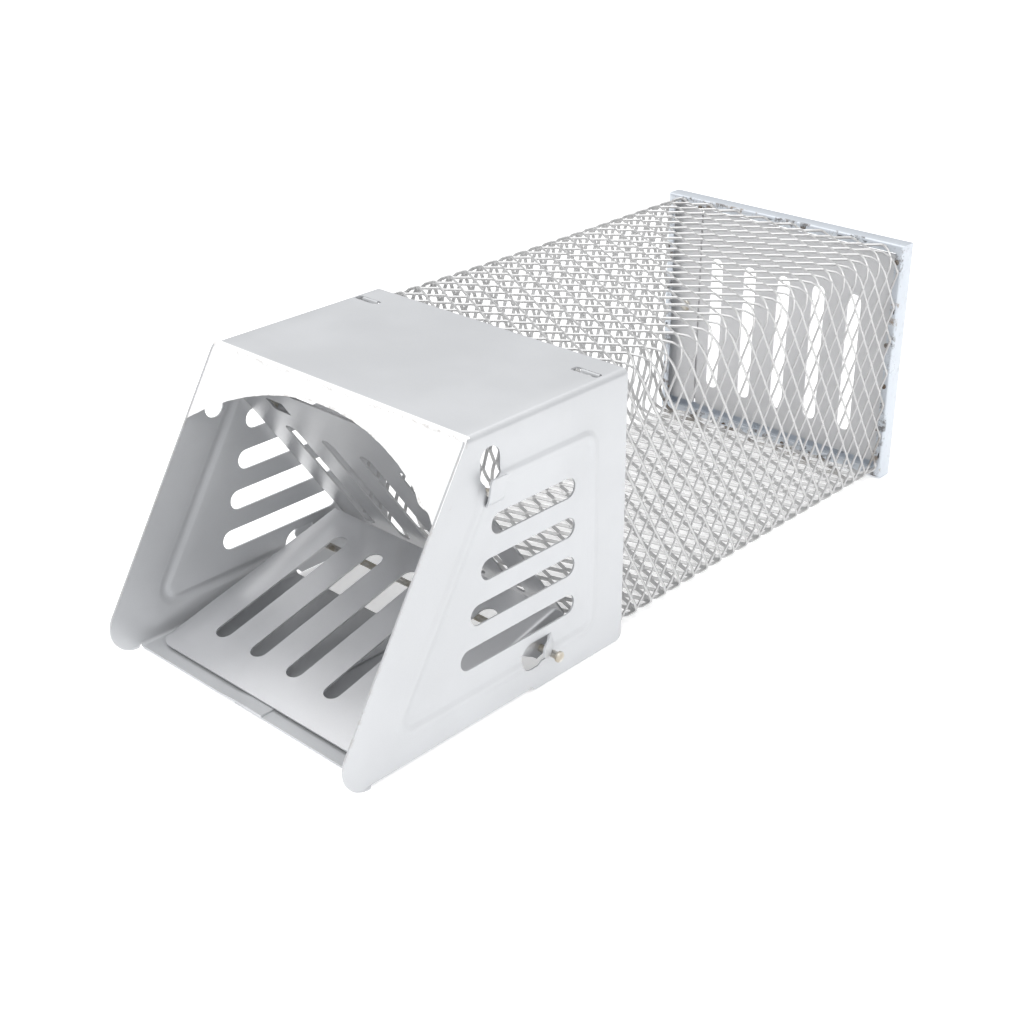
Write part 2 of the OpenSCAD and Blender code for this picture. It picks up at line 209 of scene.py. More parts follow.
def roof_edges(tree, x, y, z):
    front = abs(y - ROOF_FRONT * MM) + (z - (HEIGHT - 3) * MM).least(0.0) * -1.0
    slanted = abs((y - CORNER * MM) * math.sin(SLANT) - z * math.cos(SLANT))
    return front.least(slanted)


head_silver = silver_sheet("silver_head", (0.58, 0.59, 0.605), metal=0.45, edge=roof_edges, scuff=0.4)
print("head finish nodes:", len(head_silver.node_tree.nodes))

# %% [markdown]
# The lintel, treadle, gate and door are the same coated sheet, but each catches the light at its own
# angle and has its own wear. One function makes them all, and only the tone, the share of metal and
# the measured edge change. The lintel's near-white tone is a painted highlight, and the gate's darker
# tone is painted shade. The lintel's scuffs follow its fold and its sheared arc.

# %% Silver finishes of the other sheets
def lintel_edges(tree, x, y, z):
    fold = abs(z - (HEIGHT - 0.6) * MM)
    drop = (HEIGHT * MM - z) / math.sin(SLANT)
    arch = abs(drop - (0.0077 + x * x * 5.17))
    return fold.least(arch * 0.8)


# Near-white tone with little metal: a painted highlight on the lintel, which is the same silver sheet as
# the roof.
lintel_highlight_silver = silver_sheet("silver_lintel_painted_highlight", (0.90, 0.90, 0.90), metal=0.1, edge=lintel_edges, scuff=0.6)
treadle_silver = silver_sheet("silver_treadle", (0.64, 0.645, 0.66), metal=0.7, rough=0.36)
# Darker tone than the other sheets: painted shade on the gate, which sits inside the head.
gate_shade_silver = silver_sheet("silver_gate_painted_shade", (0.50, 0.505, 0.515), metal=0.75, rough=0.34)
door_silver = silver_sheet("silver_door", (0.66, 0.66, 0.67), metal=0.35)
print("sheet finishes:", [m.name for m in bpy.data.materials if m.name.startswith("silver")])

# %% [markdown]
# ### Zinc frame, mesh and wire
# The end frame is galvanised strip, smoother and bluer than the painted sheet, with rust where the
# mesh was welded to it. The mesh has the same coat as the head but catches more light on its
# twisted strands. Cut and peened wire ends show bare, slightly brown metal.

# %% [markdown]
# Hot zinc freezes in small flat crystals, so a Voronoi pattern gives each one a slightly different
# shade. The rust is held to a thin band where the strip meets the mesh, and is broken up with noise,
# because a plain band would look painted on.

# %% Galvanised finish
def galvanised(name, tone, rust):
    material, tree, surface, place, (x, y, z) = new_finish(name, Specular_IOR_Level=0.5)
    flake = add_node(tree, "ShaderNodeTexVoronoi", {}, {"Vector": place, "Scale": 260.0}, out=1)
    shade = add_node(tree, "ShaderNodeRGBToBW", {}, {"Color": flake})
    cloud = noise(tree, place, 45.0, 4.0)
    colour = blend_colour(tree, shade * 0.5, tuple(c * 0.95 for c in tone), tone)
    joint = 1.0 - fade(tree, abs(y - (REAR - 9.0) * MM), 0.0003, 0.0016)
    speck = fade(tree, noise(tree, place, 300.0, 6.0, 0.75), 0.55, 0.68)
    speck = speck * fade(tree, noise(tree, place, 55.0), 0.42, 0.6)
    stain = (joint * fade(tree, noise(tree, place, 120.0, 6.0, 0.75), 0.52, 0.62)).most(speck * 0.3) * rust
    brown = blend_colour(tree, fade(tree, cloud, 0.45, 0.65), (0.08, 0.07, 0.065), (0.24, 0.18, 0.13))
    feed(tree, surface, "Base Color", blend_colour(tree, stain, colour, brown))
    feed(tree, surface, "Roughness", (0.30 + (cloud - 0.5) * 0.2 + stain * 0.45).clamp())
    feed(tree, surface, "Metallic", (0.4 - stain * 0.4).clamp())
    bump(tree, surface, noise(tree, place, 500.0, 3.0) * 0.4 + stain * 0.8, 0.00008, 0.6)
    return material


frame_zinc = galvanised("zinc_frame", (0.62, 0.66, 0.71), 0.85)
print("frame finish nodes:", len(frame_zinc.node_tree.nodes))

# %% [markdown]
# Strands are coated steel with a little wear. Near the end frame some strands are painted dark, most at
# the bottom of the cage: painted shade where the mesh meets the frame, together with dark stain. The wires
# are bare metal with drawing marks along them, which a noise stretched on one axis gives.

# %% Mesh, wire and weld finishes
def strand_coat(name, tone):
    material, tree, surface, place, (x, y, z) = new_finish(name, Specular_IOR_Level=0.5)
    cloud = noise(tree, place, 30.0, 3.0)
    worn = fade(tree, noise(tree, place, 380.0, 4.0, 0.7), 0.62, 0.72)
    # Painted shade with stain: strands near the end frame turn dark brown, strongest near the bottom of the
    # cage.
    low = 1.0 - fade(tree, z, 0.004, 0.03) * 0.75
    rear_shade_and_stain = fade(tree, y, (REAR - 30) * MM, (REAR - 11) * MM)
    rear_shade_and_stain = rear_shade_and_stain * fade(tree, noise(tree, place, 70.0, 5.0, 0.7), 0.46, 0.58) * low
    colour = blend_colour(tree, fade(tree, cloud, 0.3, 0.7), tuple(c * 0.92 for c in tone), tone)
    colour = blend_colour(tree, worn * 0.25, colour, (0.45, 0.44, 0.43))
    colour = blend_colour(tree, rear_shade_and_stain * 0.9, colour, (0.13, 0.11, 0.09))
    feed(tree, surface, "Base Color", colour)
    feed(tree, surface, "Roughness", (0.36 + (cloud - 0.5) * 0.2 + rear_shade_and_stain * 0.3).clamp())
    feed(tree, surface, "Metallic", 0.65 - rear_shade_and_stain * 0.5)
    bump(tree, surface, noise(tree, place, 900.0, 3.0), 0.00005, 0.5)
    return material


def bare_wire(name, tone, brown, amount):
    material, tree, surface, place, (x, y, z) = new_finish(name, Specular_IOR_Level=0.5)
    mottled = fade(tree, noise(tree, place, 210.0, 5.0, 0.65), 0.4, 0.62)
    drawn = add_node(tree, "ShaderNodeMapping", {}, {"Vector": place, "Scale": (40.0, 2500.0, 2500.0)})
    lines = noise(tree, drawn, 1.0, 2.0)
    feed(tree, surface, "Base Color", blend_colour(tree, mottled * amount, tone, brown))
    feed(tree, surface, "Roughness", (0.28 + mottled * amount * 0.4 + (lines - 0.5) * 0.2).clamp())
    feed(tree, surface, "Metallic", (0.9 - mottled * amount * 0.5).clamp())
    bump(tree, surface, lines * 0.4 + mottled * 0.3, 0.00006, 0.5)
    return material


mesh_coat = strand_coat("silver_strand", (0.60, 0.60, 0.60))
axle_wire = bare_wire("wire_bright", (0.66, 0.64, 0.60), (0.42, 0.36, 0.26), 0.7)
dark_wire = bare_wire("wire_dark", (0.44, 0.43, 0.41), (0.26, 0.22, 0.18), 0.6)
weld_rust = bare_wire("weld_rust", (0.22, 0.20, 0.18), (0.10, 0.07, 0.05), 1.0)
print("finishes:", len(bpy.data.materials))

# %% [markdown]
# ## Sheet work
# Every sheet piece starts as a flat blank, as in a press shop: an outline, the holes punched in it
# and the lines along which it will bend. A constrained triangulation keeps all of those lines, and
# a placing function then folds the blank and gives it its thickness.

# %% Blanks
def unit(v):
    return v / np.linalg.norm(v)


def rounded_loop(points, radii, steps=8):
    points = [np.array(p, float) for p in points]
    loop = []
    for i, (corner, r) in enumerate(zip(points, radii)):
        if r <= 0:
            loop.append(corner)
            continue
        u, v = unit(points[i - 1] - corner), unit(points[(i + 1) % len(points)] - corner)
        half = math.acos(float(np.clip(u @ v, -1, 1))) / 2
        centre = corner + unit(u + v) * r / math.sin(half)
        a, b = corner + u * r / math.tan(half) - centre, corner + v * r / math.tan(half) - centre
        a0, a1 = math.atan2(a[1], a[0]), math.atan2(b[1], b[0])
        turn = (a1 - a0 + math.pi) % (2 * math.pi) - math.pi
        loop += [centre + r * np.array([math.cos(a0 + turn * k / steps), math.sin(a0 + turn * k / steps)])
                 for k in range(steps + 1)]
    return np.array(loop)


def slot_loop(p, q, width, steps=10):
    p, q, r = np.array(p, float), np.array(q, float), width / 2
    heading = math.atan2(*(q - p)[::-1])
    ends = [(q, heading - math.pi / 2), (p, heading + math.pi / 2)]
    return np.array([c + r * np.array([math.cos(a + math.pi * k / steps),
                                       math.sin(a + math.pi * k / steps)])
                     for c, a in ends for k in range(steps + 1)])


def inside(points, loop):
    a, b = loop, np.roll(loop, -1, axis=0)
    x, y = points[:, :1], points[:, 1:2]
    crosses = (a[:, 1] > y) != (b[:, 1] > y)
    with np.errstate(divide="ignore", invalid="ignore"):
        at = a[:, 0] + (y - a[:, 1]) * (b[:, 0] - a[:, 0]) / (b[:, 1] - a[:, 1])
    return ((crosses & (x < at)).sum(1) % 2).astype(bool)


print("test slot points:", len(slot_loop((0, 0), (10, 0), 4)))

# %% [markdown]
# A blank could be made with a boolean for each hole, but booleans leave long thin faces that crease
# when the sheet is bent. A constrained Delaunay triangulation takes the outline, the holes and the
# fold lines as edges that it must keep, and fills the rest with an even grid of points.

# %% Cut a blank into triangles
def densify(loop, step, closed=True):
    ends = np.roll(loop, -1, axis=0) if closed else loop[1:]
    out = []
    for a, b in zip(loop, ends):
        n = max(1, int(np.linalg.norm(b - a) / step))
        out += [a + (b - a) * k / n for k in range(n)]
    return np.array(out if closed else out + [loop[-1]])


def gap_to(points, line, closed=True):
    a = line if closed else line[:-1]
    b = np.roll(line, -1, axis=0) if closed else line[1:]
    best = np.full(len(points), 1e9)
    for p, q in zip(a, b):
        d = q - p
        t = np.clip(((points - p) @ d) / max(d @ d, 1e-12), 0, 1)
        best = np.minimum(best, np.linalg.norm(points - p - t[:, None] * d, axis=1))
    return best


def cut_blank(outline, holes=(), loops=(), lines=(), step=9.0):
    closed = [densify(np.array(c, float), step) for c in (outline, *holes, *loops)]
    opened = [densify(np.array(c, float), step, False) for c in lines]
    points, edges = [], []
    for group, wrap in ((closed, True), (opened, False)):
        for line in group:
            first = len(points)
            points += list(line)
            edges += [(first + k, first + k + 1) for k in range(len(line) - 1)]
            if wrap:
                edges.append((first + len(line) - 1, first))
    low, high = closed[0].min(0), closed[0].max(0)
    grid = np.array([(x, y) for x in np.arange(low[0] + step / 2, high[0], step)
                     for y in np.arange(low[1] + step / 2, high[1], step)])
    room = np.min([gap_to(grid, c) for c in closed] + [gap_to(grid, c, False) for c in opened], axis=0)
    points += list(grid[room > step * 0.35])
    flat, _, faces, _, _, _ = delaunay_2d_cdt([Vector(p) for p in points], edges, [], 0, 1e-4)
    flat = np.array([tuple(p) for p in flat])
    faces = np.array([f for f in faces if len(f) == 3])
    centre = flat[faces].mean(1)
    keep = inside(centre, closed[0])
    for k in range(1, 1 + len(holes)):
        keep &= ~inside(centre, closed[k])
    used, index = np.unique(faces[keep], return_inverse=True)
    return flat[used], index.reshape(-1, 3)


print("blank test:", [len(a) for a in cut_blank(rounded_loop([(0, 0), (40, 0), (40, 30), (0, 30)],
                                                             [3] * 4))])

# %% [markdown]
# A folded solid has an outer and an inner skin, joined by a rim along every sheared edge. Its
# signed volume says whether its faces point outwards, so it can be turned if they don't.

# %% Solids and pieces
def volume(points, faces):
    total = 0.0
    for f in faces:
        for k in range(1, len(f) - 1):
            total += points[f[0]] @ np.cross(points[f[k]], points[f[k + 1]])
    return total / 6


def sheet_solid(flat, faces, place, thick=SHEET):
    count = len(flat)
    points = np.vstack([place(flat, thick / 2), place(flat, -thick / 2)])
    skins = [tuple(f) for f in faces] + [tuple(f[::-1] + count) for f in faces]
    seen = {}
    for f in faces:
        for a, b in ((f[0], f[1]), (f[1], f[2]), (f[2], f[0])):
            seen[(int(a), int(b))] = seen.get((int(a), int(b)), 0) + 1
    rim = [(b, a, a + count, b + count) for a, b in seen if (b, a) not in seen]
    return points, skins + rim


def joined(*parts):
    points, faces, first = [], [], 0
    for p, f in parts:
        if volume(p, f) < 0:
            f = [tuple(reversed(face)) for face in f]
        points.append(p)
        faces += [tuple(int(i) + first for i in face) for face in f]
        first += len(p)
    return np.vstack(points), faces


def piece(name, solid, finish, body, nodes, sharp=32):
    points, faces = joined(solid) if isinstance(solid, tuple) else joined(*solid)
    mesh = bpy.data.meshes.new(name)
    mesh.from_pydata((points * MM).tolist(), [], faces)
    mesh.materials.append(finish)
    mesh.polygons.foreach_set("use_smooth", [True] * len(mesh.polygons))
    mesh.set_sharp_from_angle(angle=math.radians(sharp))
    mesh.update()
    shape = bpy.data.objects.new(name, mesh)
    bpy.context.scene.collection.objects.link(shape)
    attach(shape, body)
    if nodes:
        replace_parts(shape, *nodes)
    print(f"{name}: {len(faces)} faces on {body}")
    return shape


# %% [markdown]
# Pins and rivets are turned shapes, so a profile is swept round an axis. Tongues and straps are bent
# strips, so a width follows a smooth path. Both come out as closed solids.

# %% Turned and bent helpers
def lathe(profile, start, axis, side, steps=28):
    start, axis, side = np.array(start, float), unit(np.array(axis, float)), unit(np.array(side, float))
    other = np.cross(axis, side)
    rings = [[start + axis * along + r * (math.cos(2 * math.pi * k / steps) * side
                                          + math.sin(2 * math.pi * k / steps) * other)
              for k in range(steps)] for along, r in profile]
    points = np.array(rings).reshape(-1, 3)
    faces = [(i * steps + k, i * steps + (k + 1) % steps, (i + 1) * steps + (k + 1) % steps,
              (i + 1) * steps + k)
             for i in range(len(profile) - 1) for k in range(steps)]
    last = (len(profile) - 1) * steps
    return points, faces + [tuple(range(steps)), tuple(last + k for k in range(steps))[::-1]]


def bent_tab(path, across, widths, thick=SHEET, steps=8):
    path, across = np.array(path, float), np.array(across, float)
    tangent = np.gradient(path, axis=0)
    normal = np.cross(tangent, across)
    normal /= np.linalg.norm(normal, axis=1)[:, None]
    n, m = len(path), steps + 1
    skin = lambda h: np.array([path[i] + across * widths[i] * (j / steps - 0.5) + normal[i] * h
                               for i in range(n) for j in range(m)])
    points = np.vstack([skin(thick / 2), skin(-thick / 2)])
    quads = [(i * m + j, i * m + j + 1, (i + 1) * m + j + 1, (i + 1) * m + j) for i in range(n - 1)
             for j in range(steps)]
    edge = ([j for j in range(m)] + [i * m + steps for i in range(1, n)]
            + [(n - 1) * m + j for j in range(steps - 1, -1, -1)] + [i * m for i in range(n - 2, 0, -1)])
    faces = quads + [tuple(v + n * m for v in q[::-1]) for q in quads]
    faces += [(b, a, a + n * m, b + n * m) for a, b in zip(edge, edge[1:] + edge[:1])]
    return points, faces


def curve(points, steps=14):
    """A smooth run through the points, evenly stepped."""
    p = np.array(points, float)
    t = np.linspace(0, len(p) - 1, steps)
    padded = np.vstack([2 * p[0] - p[1], p, 2 * p[-1] - p[-2]])
    out = []
    for value in t:
        i = min(int(value), len(p) - 2)
        u = value - i
        a, b, c, d = padded[i:i + 4]
        out.append(0.5 * (2 * b + (c - a) * u + (2 * a - 5 * b + 4 * c - d) * u * u
                          + (3 * b - a - 3 * c + d) * u ** 3))
    return np.array(out)


print("lathe test:", len(lathe([(0, 1), (2, 1)], (0, 0, 0), (1, 0, 0), (0, 1, 0))[0]))

# %% [markdown]
# ## Head
# The head is one blank folded into a sleeve: roof, two side plates, and two floor flanges that lap
# right of the centre. Coordinate `u` runs around the sleeve from the roof's centre line, `y` along
# the trap. The bead is pressed into the plates, so both skins move together there. A slight wave
# keeps the large faces from looking like glass, and it dies out at the folds and the floor.

# %% Fold the head
MID_R = FOLD - SHEET / 2
HALF_MID, TOP_MID = HALF_W - SHEET / 2, HEIGHT - SHEET / 2
ARC = MID_R * math.pi / 2
U_ROOF = HALF_MID - MID_R
U_SIDE = U_ROOF + ARC
SIDE_TOP = TOP_MID - MID_R
SIDE_LOW = SHEET / 2 + MID_R
U_LOW = U_SIDE + SIDE_TOP - SIDE_LOW
U_FLOOR = U_LOW + ARC


def u_at(z):
    return U_SIDE + SIDE_TOP - z


def slant_y(z):
    return CORNER + z * SLANT_RUN / HEIGHT


BEAD_LOW, BEAD_TOP, BEAD_BACK, BEAD_FRONT, BEAD_R = 14, 20, 19, 20, 6
BEAD_HALF, BEAD_RISE = 3.3, 0.9


def bead_loop(grow, side):
    low, top = BEAD_LOW - grow, HEIGHT - BEAD_TOP + grow
    back = HEAD_BACK - BEAD_BACK + grow
    inset = (BEAD_FRONT - grow) / math.sin(SLANT)
    pts = [(low, back), (top, back), (top, slant_y(top) + inset), (low, slant_y(low) + inset)]
    loop = rounded_loop(pts, [max(1.0, BEAD_R + grow)] * 4, 6)
    return np.column_stack([side * u_at(loop[:, 0]), loop[:, 1]])


bead_middle = {side: bead_loop(0.0, side) for side in (-1, 1)}


def bead_height(flat):
    gap = np.minimum(gap_to(flat, bead_middle[1]), gap_to(flat, bead_middle[-1]))
    return np.where(gap < BEAD_HALF,
                    BEAD_RISE / 2 * (1 + np.cos(np.pi * np.clip(gap / BEAD_HALF, 0, 1))), 0)


WAVE, CALM_BAND = 0.10, 12


def place_head(flat, h):
    u, y = np.abs(flat[:, 0]), flat[:, 1]
    side = np.where(flat[:, 0] < 0, -1.0, 1.0)
    ripple = WAVE * np.sin(y / 15.0 + u / 31.0) * np.sin(u / 19.0 + side)
    calm = np.clip(np.minimum(np.abs(u - U_SIDE) / CALM_BAND, (U_LOW - u) / CALM_BAND), 0, 1)
    h = h + bead_height(flat) + ripple * calm
    folded = (y > TOE + 0.6) & (y < FLANGE_END + 0.01)
    a1 = np.clip((u - U_ROOF) / MID_R, 0, math.pi / 2)
    a2 = np.where(folded, np.clip((u - U_LOW) / MID_R, 0, math.pi / 2), 0)
    down = np.clip(u - U_SIDE, 0, np.where(folded, U_LOW - U_SIDE, 1e6))
    floor = np.where(folded, np.maximum(u - U_FLOOR, 0), 0)
    x = np.minimum(u, U_ROOF) + MID_R * np.sin(a1) - MID_R * (1 - np.cos(a2)) - floor
    z = TOP_MID - MID_R * (1 - np.cos(a1)) - down - MID_R * np.sin(a2)
    joggle = np.where((side < 0) & folded, SHEET * np.clip(-x / 4 + 3.2, 0, 1), 0) * (floor > 0)
    joggle = np.where(-x > -12, joggle, 0)
    turn = a1 + a2
    return np.column_stack([side * (x + h * np.sin(turn)), y, z + h * np.cos(turn) + joggle])


print("u of roof end, side, floor:", round(U_ROOF, 1), round(U_SIDE, 1), round(U_FLOOR, 1))

# %% [markdown]
# The flat blank is the developed shape of the sleeve: the roof in the middle, a side plate to each
# side with its slanted front, and a floor flange beyond. The slots, the wire seats, the spare round
# hole and the slots behind the roof's ears are cut while it is flat, as a press would do it.

# %% Outline and holes of the head blank
RIGHT_REACH, LEFT_REACH, CORNER_CUT = 8.5, 7.5, 2.2


def half_outline(side):
    arc = [(U_ROOF + ARC * k / 5, math.pi / 2 * k / 5) for k in range(6)]
    pts = [(u, slant_y(TOP_MID - MID_R * (1 - math.cos(a)))) for u, a in arc]
    face = rounded_loop([(SIDE_TOP, slant_y(SIDE_TOP)), (0.0, CORNER), (0.0, TOE + 60)], [0, TOE_R, 0],
                        16)[1:-1]
    pts += [(u_at(z), y) for z, y in face]
    pts += [(u_at(CORNER_CUT), TOE + 1.3)]
    reach = U_FLOOR + U_ROOF + (RIGHT_REACH if side > 0 else LEFT_REACH)
    pts += [(reach, TOE + 1.3), (reach, FLANGE_END), (u_at(CORNER_CUT), FLANGE_END),
            (u_at(2.0), FLANGE_END + 1.2),
            (u_at(0.0), FLANGE_END + 3.0)]
    heel = rounded_loop([(0.0, TOE + 60), (0.0, HEAD_BACK), (60.0, HEAD_BACK)], [0, 3, 0], 6)[1:-1]
    pts += [(u_at(z), y) for z, y in heel]
    return [(side * u, y) for u, y in pts]


SLOTS, SLOT_W, SLOT_PITCH, SLOT_LOW = 4, 8.6, 16.7, 30
SLOT_BACK, SLOT_LEN, SLOT_STEP = 29.5, 62.5, 5.7
SPARE_R, SPARE_DROP, SPARE_FRONT = 4.5, 27, 3.4
EAR_SLOT_X, EAR_SLOT_Y = (54, 67), (HEAD_BACK - 15, HEAD_BACK - 11)


def side_holes(side):
    holes = []
    for k in range(SLOTS):
        z, back = SLOT_LOW + SLOT_PITCH * k, HEAD_BACK - SLOT_BACK - SLOT_W / 2
        front = HEAD_BACK - SLOT_BACK - SLOT_LEN + SLOT_STEP * k + SLOT_W / 2
        holes.append(slot_loop((side * u_at(z), front), (side * u_at(z), back), SLOT_W, 12))
    y, z = ROD[1], ROD[2]
    key = [(z - SEAT_R, y), (z - 1.1, y + 1.1), (z, y + SEAT_R), (z + 3.4, y + SEAT_R),
           (z + 4.3, y + 3.6), (z + 6, y + 6.5)]
    key += [(z + 12.5 + 5 * math.sin(a), y + 1.5 + 5 * math.cos(a)) for a in np.linspace(0, math.pi, 13)]
    key += [(z + 6, y - 3.5), (z + 4.3, y - 2.4), (z + 3.4, y - SEAT_R), (z, y - SEAT_R),
            (z - 1.1, y - 1.1)]
    holes.append(np.array([(side * u_at(a), b) for a, b in key]))
    y, z = AXLE[1], AXLE[2]
    window = [(z - SEAT_R, y), (z - 1.2, y + 1.0), (z, y + SEAT_R), (z + SEAT_R, y + 0.4),
              (z + 2.5, y - 0.8), (z + 8.8, y - 0.8)]
    window += [(z + 3 + 6 * math.cos(a), y - 10.5 - 6 * math.sin(a))
               for a in np.linspace(0.05, math.pi, 13)]
    window += [(z - 3, y - 6.5), (z - SEAT_R, y - 4.6)]
    holes.append(np.array([(side * u_at(a), b) for a, b in window]))
    if side < 0:
        holes.append(np.array([(-u_at(HEIGHT - SPARE_DROP + SPARE_R * math.cos(a)),
                                ROOF_FRONT - SPARE_FRONT + SPARE_R * math.sin(a))
                               for a in np.linspace(0, 2 * math.pi, 25)[:-1]]))
    (x0, x1), (y0, y1) = EAR_SLOT_X, EAR_SLOT_Y
    holes.append(rounded_loop([(side * x0, y0), (side * x1, y0), (side * x1, y1), (side * x0, y1)],
                              [1] * 4, 4))
    return holes


head_outline = half_outline(1) + half_outline(-1)[::-1]
head_holes = side_holes(1) + side_holes(-1)
bead_creases = [bead_loop(g, side) for side in (-1, 1) for g in (-3.3, -2.2, -1.1, 0, 1.1, 2.2, 3.3)]
fold_lines = [[(side * (start + ARC * k / 5), -200.0), (side * (start + ARC * k / 5), HEAD_BACK + 5)]
              for side in (-1, 1) for start in (U_ROOF, U_LOW) for k in range(6)]
head_blank = cut_blank(head_outline, head_holes, bead_creases, fold_lines, 8.0)
print("head blank:", len(head_blank[0]), "points,", len(head_blank[1]), "triangles")

# %% [markdown]
# Small tongues are lanced out of the plates: one stands outside each rod end, one is bent out
# beside each axle end, and two ears of the roof press down on the cage. They are strips with a
# round free end, bent along a smooth run of points.

# %% Tongues and ears
def round_end(width, steps, share=0.35):
    t = np.linspace(0, 1, steps)
    k = np.clip((t - (1 - share)) / share, 0, 1)
    return width * np.sqrt(np.clip(1 - k ** 2.4, 0.03, 1))


EAR_X = 61
SCOOP_RUN = [(0.0, -4.9), (1.3, -4.3), (2.6, -2.9), (3.3, -0.6), (4.0, 3.2), (4.7, 7.0)]
PETAL_DIP, PETAL_TURN = math.radians(15), math.radians(25)


def tongues(side):
    x, y, z = side * HALF_MID, ROD[1] + 1.5, ROD[2]
    rise = curve(SCOOP_RUN, 18)
    scoop = [(x + side * a, y, z + b) for a, b in rise]
    share = np.linspace(0, 1, 18)
    widths = 8.0 * np.sqrt(np.clip(0.12 + share * 3.2, 0, 1)) * np.where(share > 0.96, 0.93, 1)
    parts = [bent_tab(scoop, (0, 1, 0), widths, 0.8, 8)]
    dip, turned = PETAL_DIP, PETAL_TURN
    run = np.array([side * math.cos(dip) * math.sin(turned), -math.cos(dip) * math.cos(turned),
                    -math.sin(dip)])
    root = np.array([x, AXLE[1] + 1.2, AXLE[2] + 6])
    steps = np.linspace(0, 10, 18)
    bow = side * 0.5 * np.sin(np.pi * steps / 10)
    petal = [root + run * t + np.array([b, 0, 0]) for t, b in zip(steps, bow)]
    across = unit(np.array([0, -math.sin(dip), math.cos(dip)]))
    parts.append(bent_tab(petal, across, round_end(6.0, 18, 0.34), 0.8, 8))
    ear = curve([(side * EAR_X, HEAD_BACK - 10.4, TOP_MID), (side * EAR_X, HEAD_BACK - 11.3, TOP_MID - 0.4),
                 (side * EAR_X, HEAD_BACK - 11.7, TOP_MID - 2.0), (side * EAR_X, HEAD_BACK - 12.2,
                                                                   TOP_MID - 4.6)], 10)
    parts.append(bent_tab(ear, (1, 0, 0), np.full(10, 9.0), 0.7, 6))
    return parts


head_parts = [sheet_solid(*head_blank, place_head)] + tongues(1) + tongues(-1)
piece("folded_head", head_parts, head_silver, "trap_body", ["head_shell"], 28)

# %% [markdown]
# ## Lintel
# A strip turned down from the roof closes the top of the slanted mouth. Its lower edge is cut as an
# arc, roughly sheared, with a small step near the right end.

# %% Lintel
LINTEL_DROP = (7.7, 33.0)
DOWN = np.array([0, -math.cos(SLANT), -math.sin(SLANT)])


def arch_drop(x):
    rise = LINTEL_DROP[1] - LINTEL_DROP[0]
    r = (HALF_W ** 2 + rise ** 2) / (2 * rise)
    drop = LINTEL_DROP[0] + r - np.sqrt(r * r - np.minimum(np.abs(x), HALF_W) ** 2)
    step = 1.4 * np.exp(-((x - 60) / 3.0) ** 2) - 0.8 * np.exp(-((x - 66) / 2.5) ** 2)
    rough = 0.10 * np.sin(x * 1.1) * np.sin(x * 0.43 + 1)
    return np.minimum(drop + step + rough, LINTEL_DROP[1])


LINTEL_BEND = 1.6


def place_lintel(flat, h):
    x, s = flat[:, 0], flat[:, 1]
    bend = LINTEL_BEND
    turn = np.clip(s / bend, 0, 1) * (math.pi - SLANT)
    start = np.array([0, ROOF_FRONT + 0.4, HEIGHT - SHEET / 2 + 0.35])
    run = np.minimum(s, 0)
    past = np.maximum(s - bend, 0)
    radius = bend / (math.pi - SLANT)
    y = start[1] - run - radius * np.sin(turn) + past * DOWN[1]
    z = start[2] - radius * (1 - np.cos(turn)) + past * DOWN[2]
    ny, nz = -np.sin(turn), np.cos(turn)
    return np.column_stack([x, y + h * ny, z + h * nz])


xs = np.linspace(-HALF_W, HALF_W, 141)
lintel_outline = [(x, arch_drop(x)) for x in xs] + [(HALF_W, 0.0), (HALF_W, -1.2), (-HALF_W, -1.2),
                                                    (-HALF_W, 0.0)]
lintel_blank = cut_blank(lintel_outline, (), (), [[(-HALF_W - 1, t), (HALF_W + 1, t)]
                                                  for t in (0, 0.4, 0.8, 1.2, 1.6)], 6.0)
piece("arched_lintel", sheet_solid(*lintel_blank, place_lintel, 0.7), lintel_highlight_silver, "trap_body",
      ["entrance_lintel"], 40)

# %% [markdown]
# ## Treadle and its axle
# The treadle is a slotted plate with a folded ear at each side of its rear end. The ears are
# rounded about the axle, so the gate's foot rests on them whatever the treadle's angle. The ears
# are folded down from the same flat blank, along creases that the triangulation keeps.

# %% Treadle
PLATE_HALF, LIFT, PLATE_REAR, PLATE_FRONT = 65.0, 11.9, 11.1, 87.4
GAP = 0.35
SLOT_XS = (-44, -22, 0, 22, 44)
under, floor_top = LIFT - SHEET, 2 * SHEET + GAP
TILT = math.atan2(under, PLATE_FRONT) + math.asin((AXLE[2] - floor_top) / math.hypot(PLATE_FRONT, under))
EAR_R = math.hypot(PLATE_REAR, LIFT)
BEND = 1.4
U_EDGE = PLATE_HALF - SHEET / 2 - BEND
EAR_START = U_EDGE + BEND * math.pi / 2


def place_treadle(flat, h):
    u, v = np.abs(flat[:, 0]), flat[:, 1]
    side = np.where(flat[:, 0] < 0, -1.0, 1.0)
    turn = np.clip((u - U_EDGE) / BEND, 0, math.pi / 2)
    drop = np.maximum(u - EAR_START, 0)
    x = np.minimum(u, U_EDGE) + BEND * np.sin(turn)
    z = LIFT - SHEET / 2 - BEND * (1 - np.cos(turn)) - drop
    x, z = side * (x + h * np.sin(turn)), z + h * np.cos(turn)
    c, s = math.cos(TILT), math.sin(TILT)
    return np.column_stack([x, AXLE[1] + v * c - z * s, AXLE[2] + v * s + z * c])


def ear_side(side):
    def at(v, z):
        return (side * (EAR_START + LIFT - SHEET / 2 - BEND - z), v)
    arc = [at(EAR_R * math.cos(a), EAR_R * math.sin(a)) for a in np.radians(np.arange(42, 7, -4))]
    return ([(side * U_EDGE, PLATE_REAR)] + arc + [at(5, -2), at(3.2, -3.4), at(-3.2, -3.4), at(-5, -1)]
            + [at(-14, LIFT - 4.5), at(-17, LIFT - 2.6), (side * (U_EDGE + 0.3), -19.0)])


